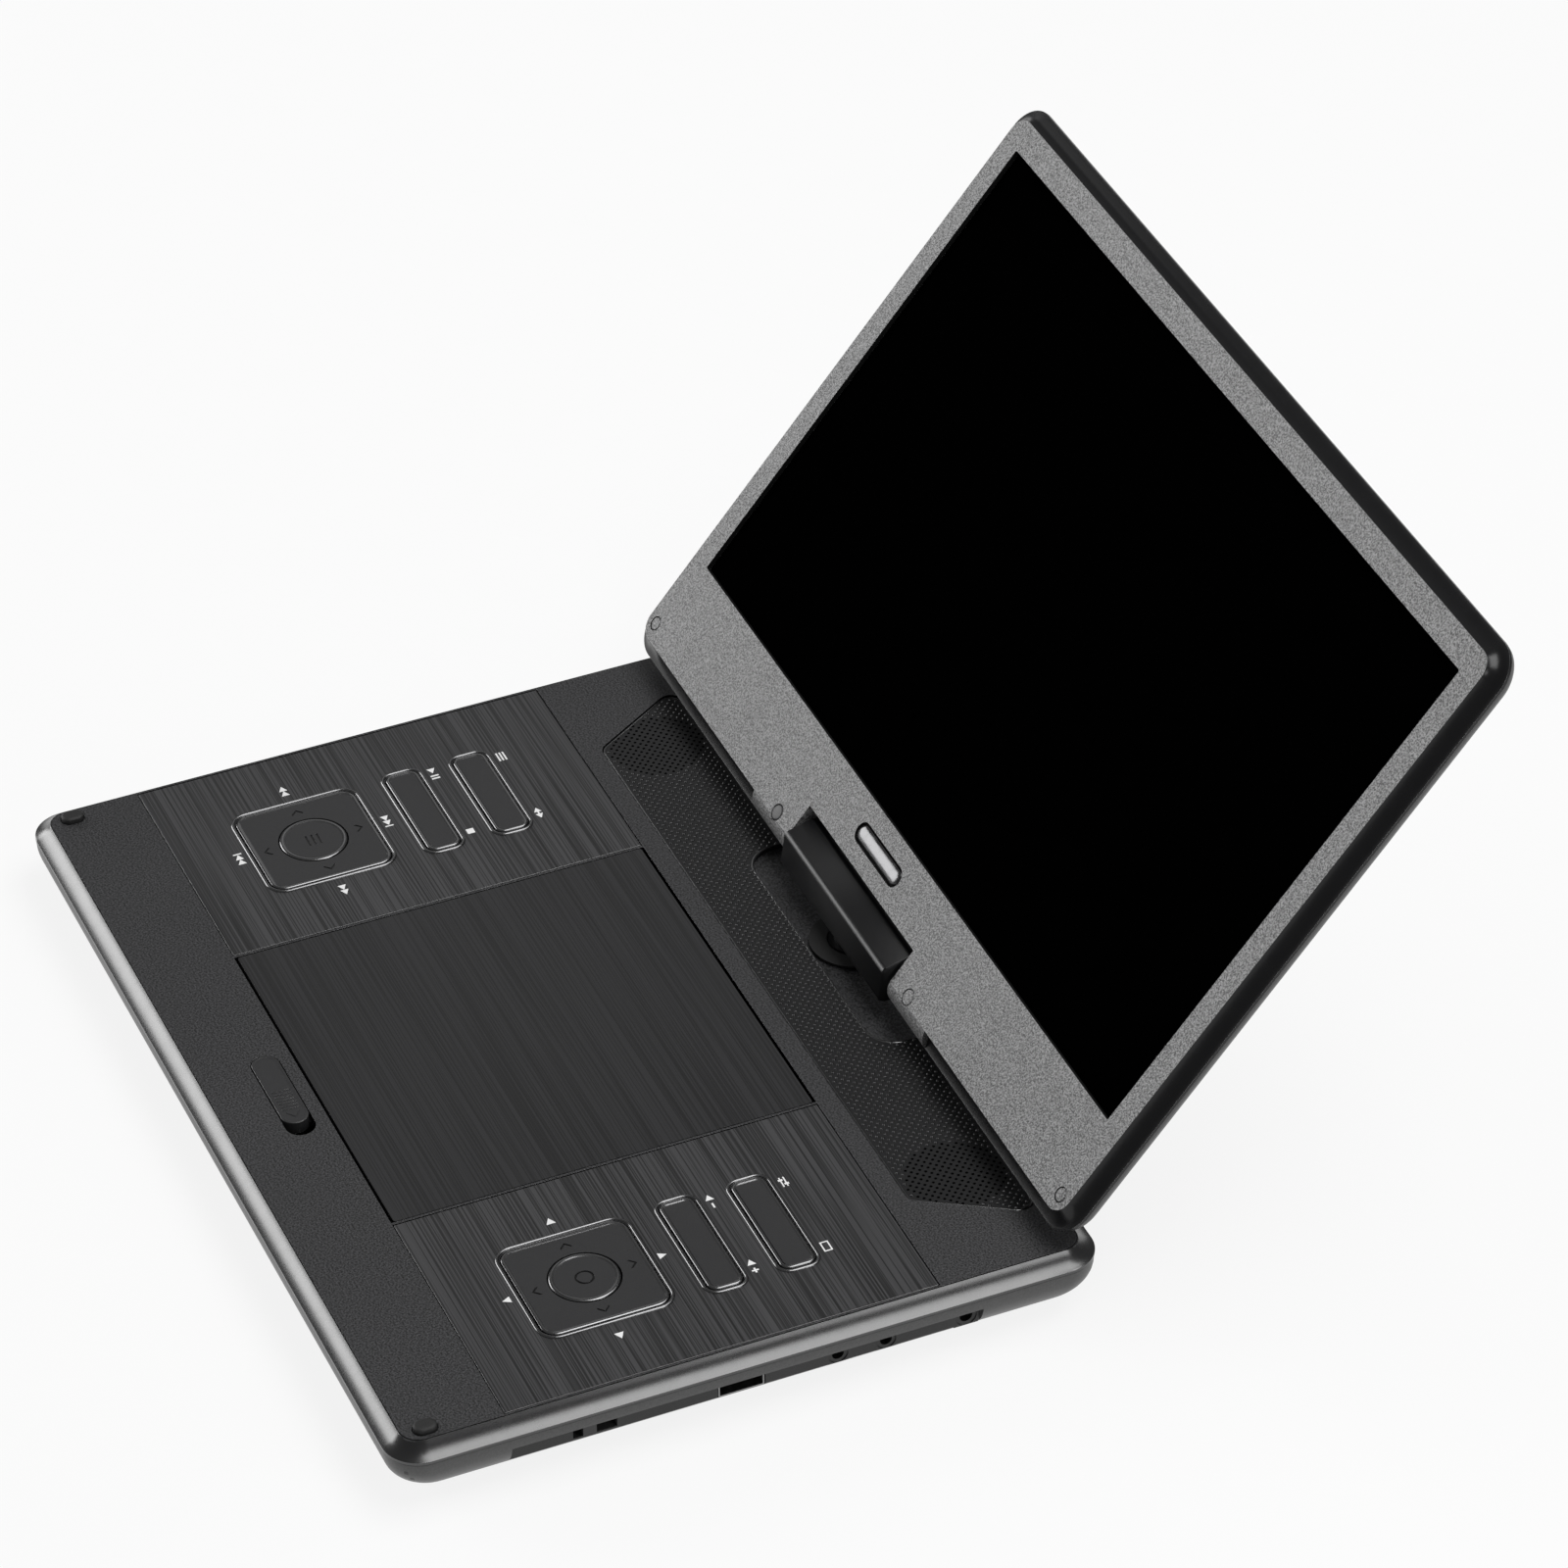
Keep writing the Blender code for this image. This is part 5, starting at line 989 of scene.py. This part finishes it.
def make_weave(bumps):
    bm = bmesh.new()
    turns = [math.tau * k / BUMP_SIDES for k in range(BUMP_SIDES)]
    for x, y in bumps:
        rings = [[bm.verts.new((x + r * math.cos(turn), y + r * math.sin(turn), GRILLE_TOP + z))
                  for turn in turns] for r, z in BUMP_RINGS]
        peak = bm.verts.new((x, y, GRILLE_TOP + BUMP_HEIGHT))
        for k in range(BUMP_SIDES):
            n = (k + 1) % BUMP_SIDES
            bm.faces.new((rings[0][k], rings[0][n], rings[1][n], rings[1][k]))
            bm.faces.new((rings[1][k], rings[1][n], peak))
        bm.faces.new(rings[0][::-1])
    dress(new_object("grille_weave", bm), "base", [WEAVE], bevel=0, angle=80)


def make_grille_rims():
    """A thin round bead along the grille's outline and along the pocket."""
    top = GRILLE_TOP
    section = [(0.25 - 0.25 * math.cos(math.pi * i / 6), top - 0.05 + 0.2 * math.sin(math.pi * i / 6))
               for i in range(7)] + [(0.5, top - 0.4), (0, top - 0.4)]
    outer = skin("outer_rim", [at(grille_outline(0.8 - grow), z) for grow, z in section], looped=True)
    paths = [(pocket_path(0.35 + grow), z) for grow, z in section]
    across = [[(path[k][0], path[k][1], z) for path, z in paths] for k in range(len(paths[0][0]))]
    dress(merged("grille_rims", [outer, skin("pocket_rim", across)]), "base", [LIP], bevel=0)


# ---- hinge and screen

def make_hinge():
    section = ((-8.4, -5.2), (8.0, -5.2), (8.0, 5.5), (2.5, 8.8), (-6.7, 6.4))
    rings = []
    for x, shrink in ((-34.6, 0.5), (-34.1, 0), (34.1, 0), (34.6, 0.5)):
        outline = rounded_polygon(section, 2.1, 8)
        scale = 1 - shrink / 8
        rings.append([(x, HINGE_Y + y * scale, HINGE_Z + z * scale) for y, z in outline])
    dress(skin("hinge_cover", rings), "stand", [HINGE], bevel=0, angle=45, replaces=["hinge_block"])


def ears(label, low, high):
    """The two barrels around the hinge shaft and the webs that carry them, cut to one half's depth."""
    tools = []
    for side in (-1, 1):
        x = sorted((side * EAR_INNER, side * EAR_OUTER))
        barrel = rod(f"{label}_barrel", (x[0], 0, 0), (x[1], 0, 0), SCREEN_FACE, 48)
        keep = box(f"{label}_keep", (x[0] - 1, x[1] + 1), (-20, 20), (low, high))
        barrel = combined(barrel, [("INTERSECT", keep)])
        web = box(f"{label}_web", x, (0.0, 12.0), (max(low, -SCREEN_FACE), min(high, SCREEN_FACE)))
        tools += [barrel, web]
    return tools


def make_screen():
    face = SCREEN_FACE
    seam = face - SCREEN_COVE_DROP - RIM_LAND
    window = rounded_rect(*WINDOW, WINDOW_CORNER)
    rings = [at(window, face)]
    rings += [at(screen_outline(out), face - down)
              for out, down in cove(SCREEN_RIM, SCREEN_COVE_DROP, 22.0, 82.0)]
    rings.append(at(screen_outline(SCREEN_RIM), seam))
    rings.append(at(screen_outline(-SHELL_WALL), seam))
    rings.append(at(screen_outline(-SHELL_WALL), face - SHELL_WALL))
    rings.append(at(window, face - SHELL_WALL))
    bezel = skin("screen_frame", rings, looped=True)
    steps = unions(notch_wall("notch_wall", seam, face - 0.4), *ears("front", seam, 20))
    tools = notch_tools("")
    for x, y, radius in SCREW_COVERS.values():
        tools.append(rod("cover_recess", (x, y, face - 1.0), (x, y, face + 1.0), radius + 0.3, 40))
    tools.append(prism("badge_recess", badge_outline(0.7), face - 0.9, face + 1.0))
    bezel = combined(bezel, steps + cutters(*tools))

    def choose(centre, normal):
        x, y, z = centre
        on_ear = 35 < abs(x) < EAR_OUTER + 0.1 and y < 6
        if on_ear or (normal[2] > 0.99 and z > face - 0.05):
            return 0
        in_badge_recess = abs(x) < 15 and 10 < y < 25
        in_window = abs(x) <= WINDOW[1] + 0.1 and 27 < y < 184
        # The badge recess, the window's walls and the faces below the seam get the near-black look:
        # painted shade.
        return 2 if in_badge_recess or in_window or z < seam + 0.01 else 1
    # The bezel's light grey is painted sheen over a real grain.
    dress(bezel, "screen", [BEZEL_WITH_SHEEN, SCREEN_GLOSS, RECESS_SHADE], bevel=0.22, chooser=choose, screen=True,
          replaces=["screen_bezel"], edge=BEZEL_EDGE_HIGHLIGHT)
    for label, (x, y, radius) in SCREW_COVERS.items():
        cap = skin(f"cover_{label}", [at(circle(x, y, r, 40), face + z) for r, z in (
            (radius, -0.8), (radius, -0.2), (radius - 0.15, -0.06), (radius - 0.5, 0.0))])
        # The left inner cover is drawn darker than the other three, which take the bezel's look.
        dress(cap, "screen", [DARKER_COVER if label == "left_inner" else BEZEL_WITH_SHEEN], bevel=0, angle=60, screen=True,
              replaces=[f"screw_cover_{label}"])
    badge = skin("badge_plate", [at(badge_outline(grow), face + z) for grow, z in (
        (0, -0.6), (0, -0.5), (-0.25, -0.3), (-0.7, -0.14), (-1.2, -0.05), (-1.7, -0.01), (-2.2, 0))])
    dress(badge, "screen", [CHROME], bevel=0, angle=60, screen=True, replaces=["badge"])
    make_screen_back(seam - 0.3)


def make_screen_back(back_seam):
    face = SCREEN_FACE
    outer = hull(4.2, back_seam, 0.0, 14.0, -face, screen_outline, FLAT_CORNER + 4.2)[1:]
    inner = hull(2.7, back_seam, 0.0, 14.0, -face + 1.6, screen_outline, FLAT_CORNER + 2.7)[1:]
    back = skin("screen_back", outer[::-1] + inner)
    steps = unions(notch_wall("back_wall", -face + 0.5, back_seam), *ears("back", -20, back_seam))
    dress(combined(back, steps + cutters(*notch_tools("back_"))), "screen", [CASE], bevel=0.3,
          screen=True, replaces=["screen_back_cover"])


def notch_wall(name, low, high):
    half = NOTCH_HALF + NOTCH_WALL
    return box(name, (-half, half), (NOTCH_TOP - 1.0, NOTCH_TOP + NOTCH_WALL), (low, high))


def notch_tools(label):
    """The cut for the hinge block and the bore for its shaft."""
    return [box(f"{label}notch", (-NOTCH_HALF, NOTCH_HALF), (-40, NOTCH_TOP), (-20, 20)),
            rod(f"{label}bore", (-55, 0, 0), (55, 0, 0), HINGE_BORE)]


def badge_outline(grow):
    return centred_rect(0, BADGE_Y, BADGE_LENGTH + 2 * grow, BADGE_WIDTH + 2 * grow,
                        BADGE_WIDTH / 2 + grow - 0.01, 12)


def dress_cad_nodes():
    """Gives each CAD piece that stays in view its finish."""
    looks = {
        "lcd_panel": GLASS, "lcd_board": BOARD, "main_board": BOARD, "key_board": BOARD,
        "battery_pack": WRAP, "disc_well": INNER, "spindle_hub": KEY, "spindle_motor": STEEL,
        "laser_pickup": SOCKET_BLACK_AND_SHADE, "guide_rod_front": STEEL, "guide_rod_rear": STEEL, "sled_motor": STEEL,
        "feed_screw": PLATED, "traverse_chassis": STEEL, "usb_port": PLATED, "dc_jack": SOCKET_BLACK_AND_SHADE,
        "headphone_jack": SOCKET_BLACK_AND_SHADE, "av_jack": SOCKET_BLACK_AND_SHADE, "power_switch": KEY, "left_speaker": SOCKET_BLACK_AND_SHADE,
        "right_speaker": SOCKET_BLACK_AND_SHADE, "swivel_plate": SOCKET_BLACK_AND_SHADE, "swivel_shaft": HINGE, "hinge_shaft": STEEL,
        "case_screw_left": STEEL, "case_screw_right": STEEL,
    }
    for node in bpy.context.scene.objects:
        name = node.get("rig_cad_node")
        if not name or node.type != "MESH":
            continue
        look = looks.get(name, RUBBER if name.startswith(("foot", "damper")) else None)
        if look:
            node.data.materials.clear()
            node.data.materials.append(look)


# ---- studio

def softbox(name, direction, distance, wide, high, radiance):
    """A rectangular light facing the object, given by the brightness of its face."""
    light = bpy.data.lights.new(name, "AREA")
    light.shape = "RECTANGLE"
    light.size = wide
    light.size_y = high
    light.energy = radiance * math.pi * wide * high
    made = bpy.data.objects.new(name, light)
    towards = Vector(direction).normalized()
    made.location = towards * distance + Vector((0, 0, 0.08))
    made.rotation_euler = towards.to_track_quat("Z", "Y").to_euler()
    bpy.context.scene.collection.objects.link(made)


def make_studio():
    bpy.ops.mesh.primitive_plane_add(size=16.0, location=(0, 0, 0))
    floor = bpy.context.object
    floor.name = "studio_floor"
    paper = Look("floor_paper", (0.12, 0.12, 0.12), 0.9, specular=0.0)
    fibres = paper.noise(60, 3.0)
    paper.shade(paper.ramp(fibres, 0.3, 0.7, 0.99, 1.01))
    paper.shader.inputs["Emission Color"].default_value = (1, 1, 1, 1)
    paper.shader.inputs["Emission Strength"].default_value = 0.85
    floor.data.materials.append(paper.material)

    world = bpy.context.scene.world or bpy.data.worlds.new("studio")
    bpy.context.scene.world = world
    world.use_nodes = True
    sky = world.node_tree.nodes["Background"]
    sky.inputs["Color"].default_value = (1, 1, 1, 1)
    sky.inputs["Strength"].default_value = 0.17
    softbox("overhead_softbox", (0.16, 0.32, 0.95), distance=2.2, wide=1.9, high=1.3, radiance=5.0)
    softbox("front_softbox", (-0.74, -0.60, 0.24), distance=2.3, wide=1.4, high=1.0, radiance=6.0)
    softbox("side_softbox", (0.80, 0.32, 0.30), distance=0.92, wide=0.3, high=0.3, radiance=4.5)
    softbox("back_left_softbox", (-0.61, 0.116, 0.366), distance=0.72, wide=0.3, high=0.3,
            radiance=0.5)

    view = bpy.context.scene.view_settings
    view.view_transform = "Standard"
    view.look = "None"


def make_camera():
    data = bpy.data.cameras.new("camera")
    data.lens = CAMERA_LENS
    data.sensor_width = 36.0
    data.clip_end = 50.0
    camera = bpy.data.objects.new("camera", data)
    camera.location = CAMERA_PLACE
    camera.rotation_euler = [math.radians(turn) for turn in CAMERA_TURN]
    bpy.context.scene.collection.objects.link(camera)
    bpy.context.scene.camera = camera


make_deck()
make_lower_case()
make_key_panels()
make_keys()
make_signs()
make_lid()
make_slider()
make_spring()
make_stop_pads()
make_grille()
make_hinge()
make_screen()
dress_cad_nodes()
make_studio()
make_camera()
bpy.context.view_layer.update()
